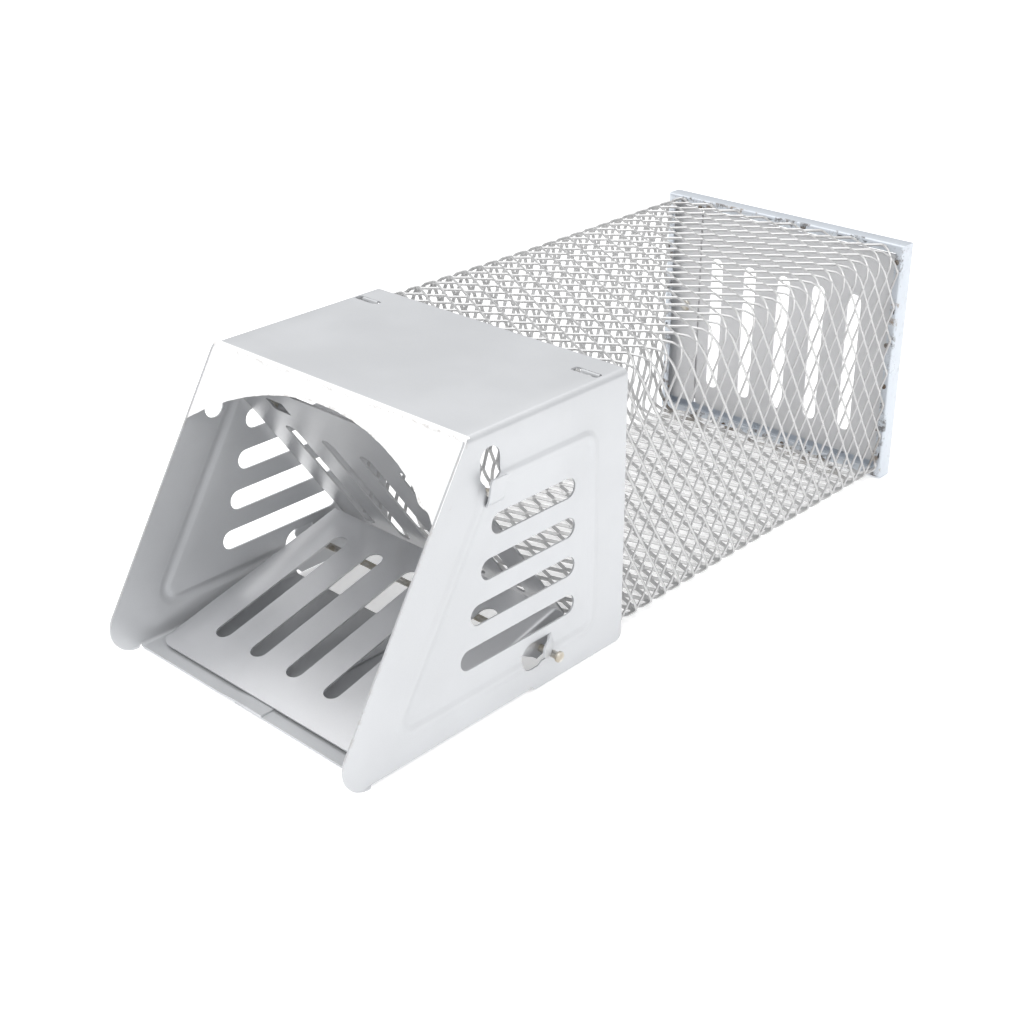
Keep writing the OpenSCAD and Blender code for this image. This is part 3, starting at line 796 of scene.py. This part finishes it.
front = rounded_loop([(PLATE_HALF - 0.4, -19.5), (PLATE_HALF - 0.4, -PLATE_FRONT),
                      (-PLATE_HALF + 0.4, -PLATE_FRONT),
                      (-PLATE_HALF + 0.4, -19.5)], [0, 6.5, 6.5, 0], 10)
treadle_outline = [tuple(p) for p in front] + ear_side(-1)[::-1] + ear_side(1)
treadle_slots = [slot_loop((x, -PLATE_FRONT + 14.7 + 4), (x, PLATE_REAR - 12.3 - 4), 8.0, 12)
                 for x in SLOT_XS]
treadle_folds = [[(side * (U_EDGE + BEND * math.pi / 2 * k / 5), -18.5),
                  (side * (U_EDGE + BEND * math.pi / 2 * k / 5), PLATE_REAR)]
                 for side in (-1, 1) for k in range(6)]
treadle_blank = cut_blank(treadle_outline, treadle_slots, (), treadle_folds, 7.0)
print("tilt", round(math.degrees(TILT), 2), "blank", len(treadle_blank[1]))
piece("treadle_plate", sheet_solid(*treadle_blank, place_treadle), treadle_silver, "see_saw",
      ["treadle"], 30)

# %% [markdown]
# Both are straight wire with peened ends, which keep them from sliding out of the plates. A turned
# profile gives the small mushroomed head at each end; a plain cylinder would lack it.

# %% Axle and rod
def headed_wire(half, centre, head):
    r = WIRE_R
    ends = [(0, 0.9 * head), (0.35, head), (1.2, head * 0.98), (1.7, r + 0.25), (2.4, r)]
    profile = ends + [(2 * half - a, q) for a, q in ends[::-1]]
    return lathe(profile, (centre[0] - half, centre[1], centre[2]), (1, 0, 0), (0, 1, 0), 28)


piece("axle_wire", headed_wire(75.5, AXLE, 2.3), axle_wire, "see_saw", ["treadle_axle"])
piece("rod_wire", headed_wire(71.6, ROD, 1.5), axle_wire, "gate_flap", ["gate_rod"])

# %% [markdown]
# ## Gate
# The gate hangs on its rod by two straps that are lanced out of the sheet and curled round the
# wire. It leans forward at the top, and gravity holds its foot against the treadle's ears. It is
# cut a little narrower than the fixed part, to clear the knuckles of the side nets as it swings.

# %% Gate
GATE_HALF, GATE_TOP, GATE_FOOT, STRAP_X = HALF_W - SHEET - 4.6, 19.5, 88, 38
away = EAR_R + GAP + SHEET + SEAT_R
dy, dz = ROD[1] - AXLE[1], ROD[2] - AXLE[2]
LEAN = math.atan2(dz, dy) - math.acos(away / math.hypot(dy, dz))
GATE_UP = np.array([0, -math.sin(LEAN), math.cos(LEAN)])
GATE_FRONT = np.array([0, -math.cos(LEAN), -math.sin(LEAN)])


def place_gate(flat, h):
    base = ROD + GATE_FRONT * (SEAT_R + SHEET / 2 + h)
    return base + np.outer(flat[:, 0], (1, 0, 0)) + np.outer(flat[:, 1], GATE_UP)


gate_outline = rounded_loop([(GATE_HALF, GATE_TOP), (-GATE_HALF, GATE_TOP), (-GATE_HALF, -GATE_FOOT),
                             (GATE_HALF, -GATE_FOOT)], [3] * 4)
gate_holes = [slot_loop((x, -78), (x, -13.5), 7.5, 12) for x in SLOT_XS]
gate_holes += [rounded_loop([(x - 5, 2.2), (x + 5, 2.2), (x + 5, 9.8), (x - 5, 9.8)], [0.8] * 4, 4)
               for x in (-STRAP_X, STRAP_X)]
gate_blank = cut_blank(gate_outline, gate_holes, (), (), 7.0)


def strap(x):
    r = 1.5 + SHEET / 2 + 0.05
    path = [ROD + np.array([x, 0, 0]) + r * (math.cos(a) * GATE_FRONT + math.sin(a) * GATE_UP)
            for a in np.radians(np.linspace(12, 262, 22))]
    return bent_tab(path, (1, 0, 0), np.full(22, 9.4), 0.75, 6)


print("lean", round(math.degrees(LEAN), 2))
piece("gate_plate", [sheet_solid(*gate_blank, place_gate), strap(-STRAP_X), strap(STRAP_X)], gate_shade_silver,
      "gate_flap", ["gate"], 30)

# %% [markdown]
# ## Cage
# Expanded metal is one sheet, slit and pulled open: strands join at small knuckles, and each strand
# leans out of the plane of the sheet, so it catches light on one side. An image or a bump map
# would lie flat, so the strands are real geometry: one knuckle with four half strands, laid on a
# staggered grid, then wrapped round the cage's bends and split into the four panels.

# %% One knuckle with four half strands
MESH_HALF, MESH_LOW, MESH_TOP, MESH_BEND = 66.3, 1.5, 116.5, 7.5
STRAIGHT_X, STRAIGHT_Z = 2 * (MESH_HALF - MESH_BEND), MESH_TOP - MESH_LOW - 2 * MESH_BEND
GIRTH = 2 * (STRAIGHT_X + STRAIGHT_Z) + 2 * math.pi * MESH_BEND
AROUND, ALONG = 29, 9.75
STRAND_WIDE, STRAND_DEEP, STRAND_BEVEL, STRAND_LEAN = 0.84, 0.41, 0.15, 0.62
PITCH_S = GIRTH / AROUND


def half_strand(toward_y, toward_s):
    centre = [(0.46 * toward_y, -0.2 * toward_s, 0.30 * toward_y),
              (0.92 * toward_y, 1.0 * toward_s, 0.34 * toward_y),
              (ALONG / 4 * toward_y, PITCH_S / 4 * toward_s, 0.0)]
    centre = np.array(centre)
    run = unit(np.array([ALONG / 4 * toward_y, PITCH_S / 4 * toward_s, 0.0]))
    lean = np.array([math.cos(STRAND_LEAN), 0.0, math.sin(STRAND_LEAN)])
    wide = unit(lean - run * (lean @ run))
    deep = np.cross(run, wide)
    w, t, b = STRAND_WIDE, STRAND_DEEP, STRAND_BEVEL
    ring = [(w, t - b), (w - b, t), (b - w, t), (-w, t - b), (-w, b - t), (b - w, -t), (w - b, -t),
            (w, b - t)]
    points = np.array([c + wide * p + deep * q for c in centre for p, q in ring])
    faces = [(i * 8 + k, i * 8 + (k + 1) % 8, (i + 1) * 8 + (k + 1) % 8, (i + 1) * 8 + k)
             for i in range(2) for k in range(8)]
    return points, faces + [tuple(range(7, -1, -1))]


def knuckle_mesh():
    points, faces, first = [], [], 0
    for ty in (-1, 1):
        for ts in (-1, 1):
            p, f = half_strand(ty, ts)
            points.append(p)
            faces += [tuple(i + first for i in face) for face in f]
            first += len(p)
    mesh = bpy.data.meshes.new("knuckle")
    mesh.from_pydata((np.vstack(points) * MM).tolist(), [], faces)
    return mesh


knuckle = bpy.data.objects.new("knuckle", knuckle_mesh())
print("pitch round the cage", round(PITCH_S, 2), "faces a knuckle", len(knuckle.data.polygons))

# %% [markdown]
# The net repeats one cell hundreds of times, which is what instancing is for. Points are set out by
# column and row, every other column is moved half a pitch, and a knuckle is placed on each. The ends
# of the half strands meet exactly, so Merge by Distance makes one connected net. The tree ends in
# Realize Instances and Set Material, because an export drops instances.

# %% Net laid by Geometry Nodes
def tree_node(tree, kind, settings=None, values=None):
    node = tree.nodes.new(kind)
    for key, value in (settings or {}).items():
        setattr(node, key, value)
    for key, value in (values or {}).items():
        if isinstance(value, bpy.types.NodeSocket):
            tree.links.new(value, node.inputs[key])
        else:
            node.inputs[key].default_value = value
    return node


def open_tree(name, inputs, output):
    """An empty node tree with named inputs, and the sockets that carry them."""
    tree = bpy.data.node_groups.new(name, "GeometryNodeTree")
    for label, kind in inputs.items():
        tree.interface.new_socket(label, in_out="INPUT", socket_type="NodeSocket" + kind)
    tree.interface.new_socket(output, in_out="OUTPUT", socket_type="NodeSocketGeometry")
    return tree, tree.nodes.new("NodeGroupInput").outputs


def net_tree():
    tree, given = open_tree("staggered_net", {"Knuckle": "Object", "Columns": "Int", "Rows": "Int",
                                             "Pitch along": "Float", "Pitch around": "Float",
                                             "Finish": "Material"}, "Net")
    cell = tree_node(tree, "GeometryNodeObjectInfo", {}, {"Object": given["Knuckle"]}).outputs["Geometry"]
    index = tree_node(tree, "GeometryNodeInputIndex").outputs[0]

    def sums(operation, a, b):
        return tree_node(tree, "ShaderNodeMath", dict(operation=operation), {0: a, 1: b}).outputs[0]

    total = sums("MULTIPLY", given["Columns"], given["Rows"])
    dots = tree_node(tree, "GeometryNodePoints", {}, {"Count": total}).outputs[0]
    column = sums("FLOOR", sums("DIVIDE", sums("ADD", index, 0.25), given["Rows"]), 0.0)
    row = sums("SUBTRACT", index, sums("MULTIPLY", column, given["Rows"]))
    stagger = sums("MULTIPLY", sums("MODULO", column, 2.0), 0.5)
    along = sums("MULTIPLY", sums("MULTIPLY", column, 0.5), given["Pitch along"])
    around = sums("MULTIPLY", sums("ADD", row, stagger), given["Pitch around"])
    spot = tree_node(tree, "ShaderNodeCombineXYZ", {}, {0: along, 1: around}).outputs[0]
    dots = tree_node(tree, "GeometryNodeSetPosition", {}, {"Geometry": dots, "Position": spot}).outputs[0]
    net = tree_node(tree, "GeometryNodeInstanceOnPoints", {}, {"Points": dots, "Instance": cell}).outputs[0]
    net = tree_node(tree, "GeometryNodeRealizeInstances", {}, {0: net}).outputs[0]
    net = tree_node(tree, "GeometryNodeMergeByDistance", {},
                    {"Geometry": net, "Distance": 0.00003}).outputs[0]
    net = tree_node(tree, "GeometryNodeSetMaterial", {}, {"Geometry": net,
                                                          "Material": given["Finish"]}).outputs[0]
    tree.links.new(net, tree.nodes.new("NodeGroupOutput").inputs[0])
    return tree


def grown(name, tree, inputs):
    """The plain mesh that a node tree makes from an empty one."""
    host = bpy.data.objects.new(name, bpy.data.meshes.new(name))
    bpy.context.scene.collection.objects.link(host)
    modifier = host.modifiers.new("nodes", "NODES")
    modifier.node_group = tree
    names = {s.name: s.identifier for s in tree.interface.items_tree if s.in_out == "INPUT"}
    for key, value in inputs.items():
        modifier[names[key]] = value
    shown = host.evaluated_get(bpy.context.evaluated_depsgraph_get())
    mesh = bpy.data.meshes.new_from_object(shown)
    bpy.data.objects.remove(host)
    return mesh


bpy.context.scene.collection.objects.link(knuckle)
MESH_TUCK = 20
CAGE_FRONT, CAGE_BACK = HEAD_BACK - MESH_TUCK, REAR - 9
columns = int((CAGE_BACK - CAGE_FRONT - 3.5) / (ALONG / 2)) + 1
flat_net = grown("flat_net", net_tree(), {"Knuckle": knuckle, "Columns": columns, "Rows": AROUND,
                                          "Pitch along": ALONG * MM,
                                          "Pitch around": PITCH_S * MM, "Finish": mesh_coat})
bpy.data.objects.remove(knuckle)
print("flat net:", len(flat_net.vertices), "points,", len(flat_net.polygons), "faces,", columns, "columns")

# %% [markdown]
# The flat net is bent round the four corners by a plain formula: straight run, quarter circle, and
# so on. A Curve modifier could do it too, but a formula keeps the pitch exact at the bends. Each face
# then goes to the panel in which its middle lies.

# %% Wrap the net and split it into panels
def wrap(points):
    """y from the last column, s round the girth from the top's left bend, d outwards."""
    y, s, d = CAGE_BACK - 0.4 - points[:, 0], np.mod(points[:, 1], GIRTH), points[:, 2]
    quarter = math.pi * MESH_BEND / 2
    runs = [STRAIGHT_X, quarter, STRAIGHT_Z, quarter, STRAIGHT_X, quarter, STRAIGHT_Z, quarter]
    x, z, turn = -MESH_HALF + MESH_BEND, MESH_TOP, 0.0
    out = np.zeros((len(points), 3))
    begin = 0.0
    for k, run in enumerate(runs):
        here = (s >= begin - 1e-9) & (s < begin + run + 1e-9)
        t = s[here] - begin
        c, n = math.cos(turn), math.sin(turn)
        if k % 2 == 0:
            px, pz = x + t * c, z - t * n
            ox, oz = np.full(len(t), n), np.full(len(t), c)
            x, z = x + run * c, z - run * n
        else:
            a = turn + t / MESH_BEND
            cx, cz = x - MESH_BEND * math.sin(turn), z - MESH_BEND * math.cos(turn)
            px, pz = cx + MESH_BEND * np.sin(a), cz + MESH_BEND * np.cos(a)
            ox, oz = np.sin(a), np.cos(a)
            turn += math.pi / 2
            x, z = cx + MESH_BEND * math.sin(turn), cz + MESH_BEND * math.cos(turn)
        out[here] = np.column_stack([px + ox * d[here], y[here], pz + oz * d[here]])
        begin += run
    sway = np.column_stack([np.sin(out[:, 2] / 40), np.zeros(len(y)), np.sin(out[:, 0] / 40)])
    wobble = 0.25 * np.sin(y / 37.0)[:, None] * sway
    fades = np.clip((y - HEAD_BACK) / 20, 0, 1) * np.clip((CAGE_BACK - y) / 20, 0, 1)
    return out + wobble * fades[:, None]


net_points = np.array([v.co[:] for v in flat_net.vertices]) / MM
net_faces = [tuple(p.vertices) for p in flat_net.polygons]
wrapped = wrap(net_points)
quarter = math.pi * MESH_BEND / 2
bounds_s = [0, STRAIGHT_X + quarter, STRAIGHT_X + quarter + STRAIGHT_Z,
            2 * STRAIGHT_X + 3 * quarter + STRAIGHT_Z, GIRTH - quarter]
centre_s = np.mod([np.mean(net_points[list(f), 1]) for f in net_faces], GIRTH)
panels = {"net_top": ("cage_top", -1, bounds_s[1]), "net_right": ("cage_right", bounds_s[1], bounds_s[2]),
          "net_bottom": ("cage_bottom", bounds_s[2], bounds_s[3]),
          "net_left": ("cage_left", bounds_s[3], bounds_s[4])}
for name, (node, low, high) in panels.items():
    chosen = (centre_s >= low) & (centre_s < high)
    if node == "cage_top":
        chosen |= centre_s >= bounds_s[4]
    faces = [net_faces[i] for i in np.flatnonzero(chosen)]
    used, index = np.unique(np.concatenate([np.array(f) for f in faces]), return_inverse=True)
    sizes = np.cumsum([0] + [len(f) for f in faces])
    faces = [tuple(index[a:b]) for a, b in zip(sizes[:-1], sizes[1:])]
    mesh = bpy.data.meshes.new(name)
    mesh.from_pydata((wrapped[used] * MM).tolist(), [], [tuple(int(i) for i in f) for f in faces])
    mesh.materials.append(mesh_coat)
    mesh.polygons.foreach_set("use_smooth", [True] * len(mesh.polygons))
    mesh.set_sharp_from_angle(angle=math.radians(40))
    panel = bpy.data.objects.new(name, mesh)
    bpy.context.scene.collection.objects.link(panel)
    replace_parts(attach(panel, "trap_body"), node)
    print(name, len(mesh.polygons), "faces")

# %% [markdown]
# ## End frame
# Four channels, folded from strip and mitred at the corners. Their front lips carry the mesh. One
# cross-section is swept for all four, and the ends are sheared to 45 degrees so that they meet.

# %% Channels
FRAME_W, FRAME_D, LIP = 68.2, 9.0, 4.0


def channel(length, at):
    r_out, r_in, t = 1.1, 0.4, SHEET
    outer = rounded_loop([(-FRAME_D, LIP), (-FRAME_D, 0), (0, 0), (0, LIP)], [0, r_out, r_out, 0], 4)
    inner = rounded_loop([(-t, LIP), (-t, t), (t - FRAME_D, t), (t - FRAME_D, LIP)], [0, r_in, r_in, 0], 4)
    section = np.vstack([outer, inner])
    n = len(section)
    ends = [np.column_stack([np.full(n, s * length / 2) - s * section[:, 1], section]) for s in (-1, 1)]
    points = np.vstack(ends)
    faces = [(k, (k + 1) % n, (k + 1) % n + n, k + n) for k in range(n)]
    half = len(outer)
    for base, flip in ((0, 1), (n, -1)):
        for k in range(half - 1):
            a, b = base + k, base + k + 1
            c, d = base + n - 2 - k, base + n - 1 - k
            faces.append((a, b, c, d)[::flip])
    return at(points), faces


bars = {"frame_top": (2 * FRAME_W, lambda p: np.column_stack([p[:, 0], REAR + p[:, 1], HEIGHT - p[:, 2]])),
        "frame_bottom": (2 * FRAME_W, lambda p: np.column_stack([p[:, 0], REAR + p[:, 1], p[:, 2]])),
        "frame_left": (HEIGHT, lambda p: np.column_stack([-FRAME_W + p[:, 2], REAR + p[:, 1], HEIGHT / 2
                                                          + p[:, 0]])),
        "frame_right": (HEIGHT, lambda p: np.column_stack([FRAME_W - p[:, 2], REAR + p[:, 1], HEIGHT / 2
                                                           + p[:, 0]]))}
for node, (length, at) in bars.items():
    piece("bar_" + node[6:], channel(length, at), frame_zinc, "trap_body", [node], 35)

# %% [markdown]
# ## Door, jamb and hinge
# The end panel is cut once to part the door from its narrow jamb. Two knuckles on the door turn on
# a pin held by two lugs, and a button on a rivet keeps the door shut when it is turned. A thin lip
# on the door closes the cut from behind, so the slit reads as a dark line.

# %% Door and jamb
door_low, door_high = span("end_door")
jamb_low, jamb_high = span("door_jamb")


def place_panel(flat, h):
    return np.column_stack([flat[:, 0], np.full(len(flat), (door_low[1] + door_high[1]) / 2 + h),
                            flat[:, 1]])


door_outline = rounded_loop([(door_low[0], door_low[2]), (door_high[0], door_low[2]),
                             (door_high[0], door_high[2]),
                             (door_low[0], door_high[2])], [1.2] * 4, 4)
door_middle = (door_low[0] + door_high[0]) / 2 - 5
DOOR_SLOT_W, DOOR_SLOT_PITCH, DOOR_SLOT_Z = 7.3, 20.3, (17.5, 88)
door_slots = [slot_loop((door_middle + DOOR_SLOT_PITCH * k, DOOR_SLOT_Z[0] + DOOR_SLOT_W / 2),
                        (door_middle + DOOR_SLOT_PITCH * k,
                         DOOR_SLOT_Z[1] - DOOR_SLOT_W / 2), DOOR_SLOT_W, 12)
              for k in range(-2, 3)]
lip_x, lip_z = (door_low[0] - 2.2, door_low[0] + 3), (8, 110)
shut_lip = rounded_loop([(lip_x[0], lip_z[0]), (lip_x[1], lip_z[0]), (lip_x[1], lip_z[1]),
                         (lip_x[0], lip_z[1])],
                        [0.3] * 4, 2)
behind = lambda flat, h: place_panel(flat, h + SHEET / 2 + 0.14)
piece("door_plate", [sheet_solid(*cut_blank(door_outline, door_slots, (), (), 8.0), place_panel),
                     sheet_solid(*cut_blank(shut_lip, (), (), (), 8.0), behind, 0.2)], door_silver,
      "release_door", ["end_door"])
jamb_outline = rounded_loop([(jamb_low[0], jamb_low[2]), (jamb_high[0], jamb_low[2]),
                             (jamb_high[0], jamb_high[2]),
                             (jamb_low[0], jamb_high[2])], [0.6] * 4, 3)
piece("jamb_strip", sheet_solid(*cut_blank(jamb_outline, (), (), (), 8.0), place_panel), door_silver,
      "trap_body",
      ["door_jamb"])

# %% [markdown]
# The door's knuckles are strip rolled round the pin, the lugs are small plates with an eye, and the
# pin is wire with chamfered ends. Each plate is an outline with a hole, raised between two heights.

# %% Hinge and latch hardware
KNUCKLE_R, PIN_R = 2.05, 1.2


def ring_plate(outline, hole, low, high, at):
    """A thick plate with one round hole, between two heights."""
    flat, faces = cut_blank(outline, [hole], (), (), 3.0)
    centre, thick = (low + high) / 2, high - low
    return sheet_solid(flat, faces, lambda p, h: at(p, centre + h), thick)


def circle(radius, steps=28, centre=(0, 0)):
    return np.array([(centre[0] + radius * math.cos(a), centre[1] + radius * math.sin(a))
                     for a in np.linspace(0, 2 * math.pi, steps + 1)[:-1]])


def upright(p, z):
    return np.column_stack([PIN[0] + p[:, 0], PIN[1] + p[:, 1], np.full(len(p), z)])


loops_z = [HEIGHT * 0.237, HEIGHT * 0.703]
knuckles = []
for z in loops_z:
    leaf = [(-9, -KNUCKLE_R), (0, -KNUCKLE_R)]
    leaf += [(KNUCKLE_R * math.cos(a), KNUCKLE_R * math.sin(a))
             for a in np.radians(np.linspace(-84, 198, 30))]
    leaf += [(-3.2, SHEET - KNUCKLE_R), (-9, SHEET - KNUCKLE_R)]
    knuckles.append(ring_plate(leaf, circle(1.25), z - 4, z + 4, upright))
piece("door_loops", knuckles, dark_wire, "release_door", ["door_knuckles"])
pin_low, pin_high = span("door_hinge_pin")
pin_len = pin_high[2] - pin_low[2]
hinge_profile = [(0, 0.9), (0.3, PIN_R), (pin_len - 0.3, PIN_R), (pin_len, 0.9)]
piece("hinge_wire", lathe(hinge_profile, (PIN[0], PIN[1], pin_low[2]), (0, 0, 1), (1, 0, 0), 24), dark_wire,
      "trap_body", ["door_hinge_pin"])
eye, LUG_TOP = KNUCKLE_R - 0.35, 1.35
reach = span("hinge_lugs")[1][0] - PIN[0]
lug_outline = [(reach, -eye), (reach, LUG_TOP), (0, LUG_TOP)] + [
    (eye * math.cos(a), eye * math.sin(a)) for a in np.radians(np.linspace(118, 268, 16))] + [(0.3, -eye)]
piece("lug_pair", [ring_plate(lug_outline, circle(PIN_R), z, z + 2, upright)
                   for z in (loops_z[0] - 7, loops_z[1] + 5)],
      frame_zinc, "trap_body", ["hinge_lugs"])

# %% [markdown]
# The button is a round-ended strip that turns on its rivet to cover the door's edge. The rivet is a
# turned shape with a domed head on both sides, so that it stays in the jamb.

# %% Latch button and rivet
button_low, button_high = span("latch_button")
rivet_low, rivet_high = span("latch_rivet")
RIVET = middle("latch_rivet")


def facing(p, y):
    return np.column_stack([RIVET[0] + p[:, 0], np.full(len(p), y), RIVET[2] + p[:, 1]])


piece("turn_button", ring_plate(slot_loop((0, -4), (0, 13), 8.0, 14), circle(SEAT_R), button_low[1],
                                button_high[1], facing),
      frame_zinc, "latch", ["latch_button"])
depth = rivet_high[1] - rivet_low[1]
profile = [(0, 2.0), (0.25, 2.7), (0.6, 3.0), (1.2, 3.0), (1.2, 1.5), (depth - 1.2, 1.5),
           (depth - 1.2, 3.0),
           (depth - 0.6, 3.0), (depth - 0.2, 2.6), (depth, 1.8)]
piece("round_rivet", lathe(profile, (RIVET[0], rivet_low[1], RIVET[2]), (0, 1, 0), (1, 0, 0), 28),
      axle_wire,
      "trap_body", ["latch_rivet"])

# %% [markdown]
# ## Weld spots
# The mesh is tacked to the frame's front lips. Each tack is a small flattened bead of burnt metal.
# Geometry Nodes sets beads at even steps round a rounded rectangle and moves and scales each one a
# little with a fixed seed, so the row looks made by hand and comes out the same on each run.

# %% Weld spots
def weld_tree():
    tree, given = open_tree("weld_spots", {"Count across": "Int", "Count up": "Int", "Radius": "Float",
                                          "Half width": "Float", "Half height": "Float",
                                          "Finish": "Material"}, "Welds")
    twice = lambda s: tree_node(tree, "ShaderNodeMath", dict(operation="MULTIPLY"),
                                {0: s, 1: 2.0}).outputs[0]
    box = tree_node(tree, "GeometryNodeCurvePrimitiveQuadrilateral", {},
                    {"Width": twice(given["Half width"]), "Height": twice(given["Half height"])}).outputs[0]
    box = tree_node(tree, "GeometryNodeFilletCurve", {}, {"Curve": box, "Radius": 0.007}).outputs[0]
    total = tree_node(tree, "ShaderNodeMath", dict(operation="ADD"),
                      {0: given["Count across"], 1: given["Count up"]}).outputs[0]
    dots = tree_node(tree, "GeometryNodeCurveToPoints", dict(mode="COUNT"),
                     {"Curve": box, "Count": total}).outputs[0]
    shift = tree_node(tree, "FunctionNodeRandomValue", dict(data_type="FLOAT_VECTOR"),
                      {0: (-0.005, -0.005, -0.0002), 1: (0.005, 0.005, 0.0002), "Seed": 7}).outputs[0]
    slide = tree_node(tree, "GeometryNodeSetPosition", {}, {"Geometry": dots, "Offset": shift}).outputs[0]
    size = tree_node(tree, "FunctionNodeRandomValue", dict(data_type="FLOAT"),
                     {2: 0.55, 3: 1.25, "Seed": 11}).outputs[1]
    drop = tree_node(tree, "GeometryNodeMeshIcoSphere", {},
                     {"Radius": given["Radius"], "Subdivisions": 2}).outputs[0]
    welds = tree_node(tree, "GeometryNodeInstanceOnPoints", {},
                      {"Points": slide, "Instance": drop, "Scale": size}).outputs[0]
    welds = tree_node(tree, "GeometryNodeRealizeInstances", {}, {0: welds}).outputs[0]
    welds = tree_node(tree, "GeometryNodeSetMaterial", {}, {"Geometry": welds,
                                                            "Material": given["Finish"]}).outputs[0]
    tree.links.new(welds, tree.nodes.new("NodeGroupOutput").inputs[0])
    return tree


weld_mesh = grown("weld_spots", weld_tree(), {"Count across": 13, "Count up": 11, "Radius": 0.0013,
                                              "Half width": 0.0661,
                                              "Half height": 0.0573, "Finish": weld_rust})
co = np.array([v.co[:] for v in weld_mesh.vertices]) / MM
WELD_X, WELD_Z, FLATTEN = 66.6, 57.4, 0.55
co = np.column_stack([np.clip(co[:, 0], -WELD_X, WELD_X), REAR - FRAME_D - 0.2 + co[:, 2] * FLATTEN,
                      HEIGHT / 2 + np.clip(co[:, 1], -WELD_Z, WELD_Z)])
weld_faces = [tuple(p.vertices) for p in weld_mesh.polygons]
piece("weld_beads", (co, weld_faces), weld_rust, "trap_body", [], 60)

# %% [markdown]
# ## Floor, light and camera
# The floor is a wide pale plane just under the trap. It gives off a little light of its own, so it
# stays white where the trap shades it.

# %% Floor
floor_mesh = bpy.data.meshes.new("studio_floor")
REACH, DROP = 6, -0.0006
floor_mesh.from_pydata([(-REACH, -REACH, DROP), (REACH, -REACH, DROP), (REACH, REACH, DROP),
                        (-REACH, REACH, DROP)],
                       [], [(0, 1, 2, 3)])
pale, tree, surface, place, _ = new_finish("studio_white", Roughness=0.9, Specular_IOR_Level=0.1,
                                           Emission_Color=(1, 1, 1, 1), Emission_Strength=0.3)
feed(tree, surface, "Base Color", blend_colour(tree, noise(tree, place, 3.0), (0.93, 0.93, 0.93),
                                               (0.95, 0.95, 0.95)))
floor_mesh.materials.append(pale)
floor = bpy.data.objects.new("studio_floor", floor_mesh)
bpy.context.scene.collection.objects.link(floor)

# %% [markdown]
# Three square area lights give soft shadows: a key on the right, a wide fill in front and one above.
# The world is a grey that pales upwards, because bare metal needs something darker than the floor to
# reflect, or it turns as white as the floor.

# %% Lights
def soft_light(name, place, aim, size, power):
    lamp = bpy.data.lights.new(name, "AREA")
    lamp.shape, lamp.size, lamp.energy = "SQUARE", size, power
    shape = bpy.data.objects.new(name, lamp)
    shape.location = place
    shape.rotation_euler = (Vector(aim) - Vector(place)).to_track_quat("-Z", "Y").to_euler()
    bpy.context.scene.collection.objects.link(shape)


world = bpy.data.worlds.new("white_room")
world.use_nodes = True
sky = world.node_tree
heading = add_node(sky, "ShaderNodeTexCoord", out=0)
upward = add_node(sky, "ShaderNodeSeparateXYZ", {}, {"Vector": heading}, out=2)
glow = blend_colour(sky, fade(sky, upward, 0.0, 0.8), (0.36, 0.37, 0.39), (0.86, 0.86, 0.86))
sky.links.new(glow.socket, sky.nodes["Background"].inputs["Color"])
bpy.context.scene.world = world
bpy.context.scene.view_settings.view_transform = "Standard"
soft_light("right_key", (1.3, -0.2, 0.9), (0, 0, 0.05), 1.5, 6)
soft_light("front_fill", (0.2, -1.2, 1.6), (0, -0.1, 0.05), 1.8, 14)
soft_light("top_fill", (-0.3, 0.2, 1.6), (0, 0, 0.0), 1.8, 12)
print("lights placed")

# %% [markdown]
# The camera looks down on the right front corner. Its matrix is built from the direction of view, a
# level right axis and a slight roll, which is easier to check than three Euler angles.

# %% Camera
eye_at = Vector((0.41917, -0.43441 + HEAD_BACK * MM, 0.34052))
turn, pitch, roll = math.radians(-43.326), math.radians(26.941), math.radians(-0.447)
look = Vector((math.sin(turn) * math.cos(pitch), math.cos(turn) * math.cos(pitch), -math.sin(pitch)))
right = look.cross(Vector((0, 0, 1))).normalized()
up = right.cross(look)
level_right = right * math.cos(roll) + up * math.sin(roll)
level_up = up * math.cos(roll) - right * math.sin(roll)
lens = bpy.data.cameras.new("camera")
lens.sensor_width, lens.lens, lens.clip_start = 36.0, 55.83, 0.01
camera = bpy.data.objects.new("camera", lens)
rows = [(level_right[i], level_up[i], -look[i], eye_at[i]) for i in range(3)]
camera.matrix_world = Matrix(rows + [(0, 0, 0, 1)])
bpy.context.scene.collection.objects.link(camera)
bpy.context.scene.camera = camera
print("camera at", [round(c, 3) for c in eye_at])
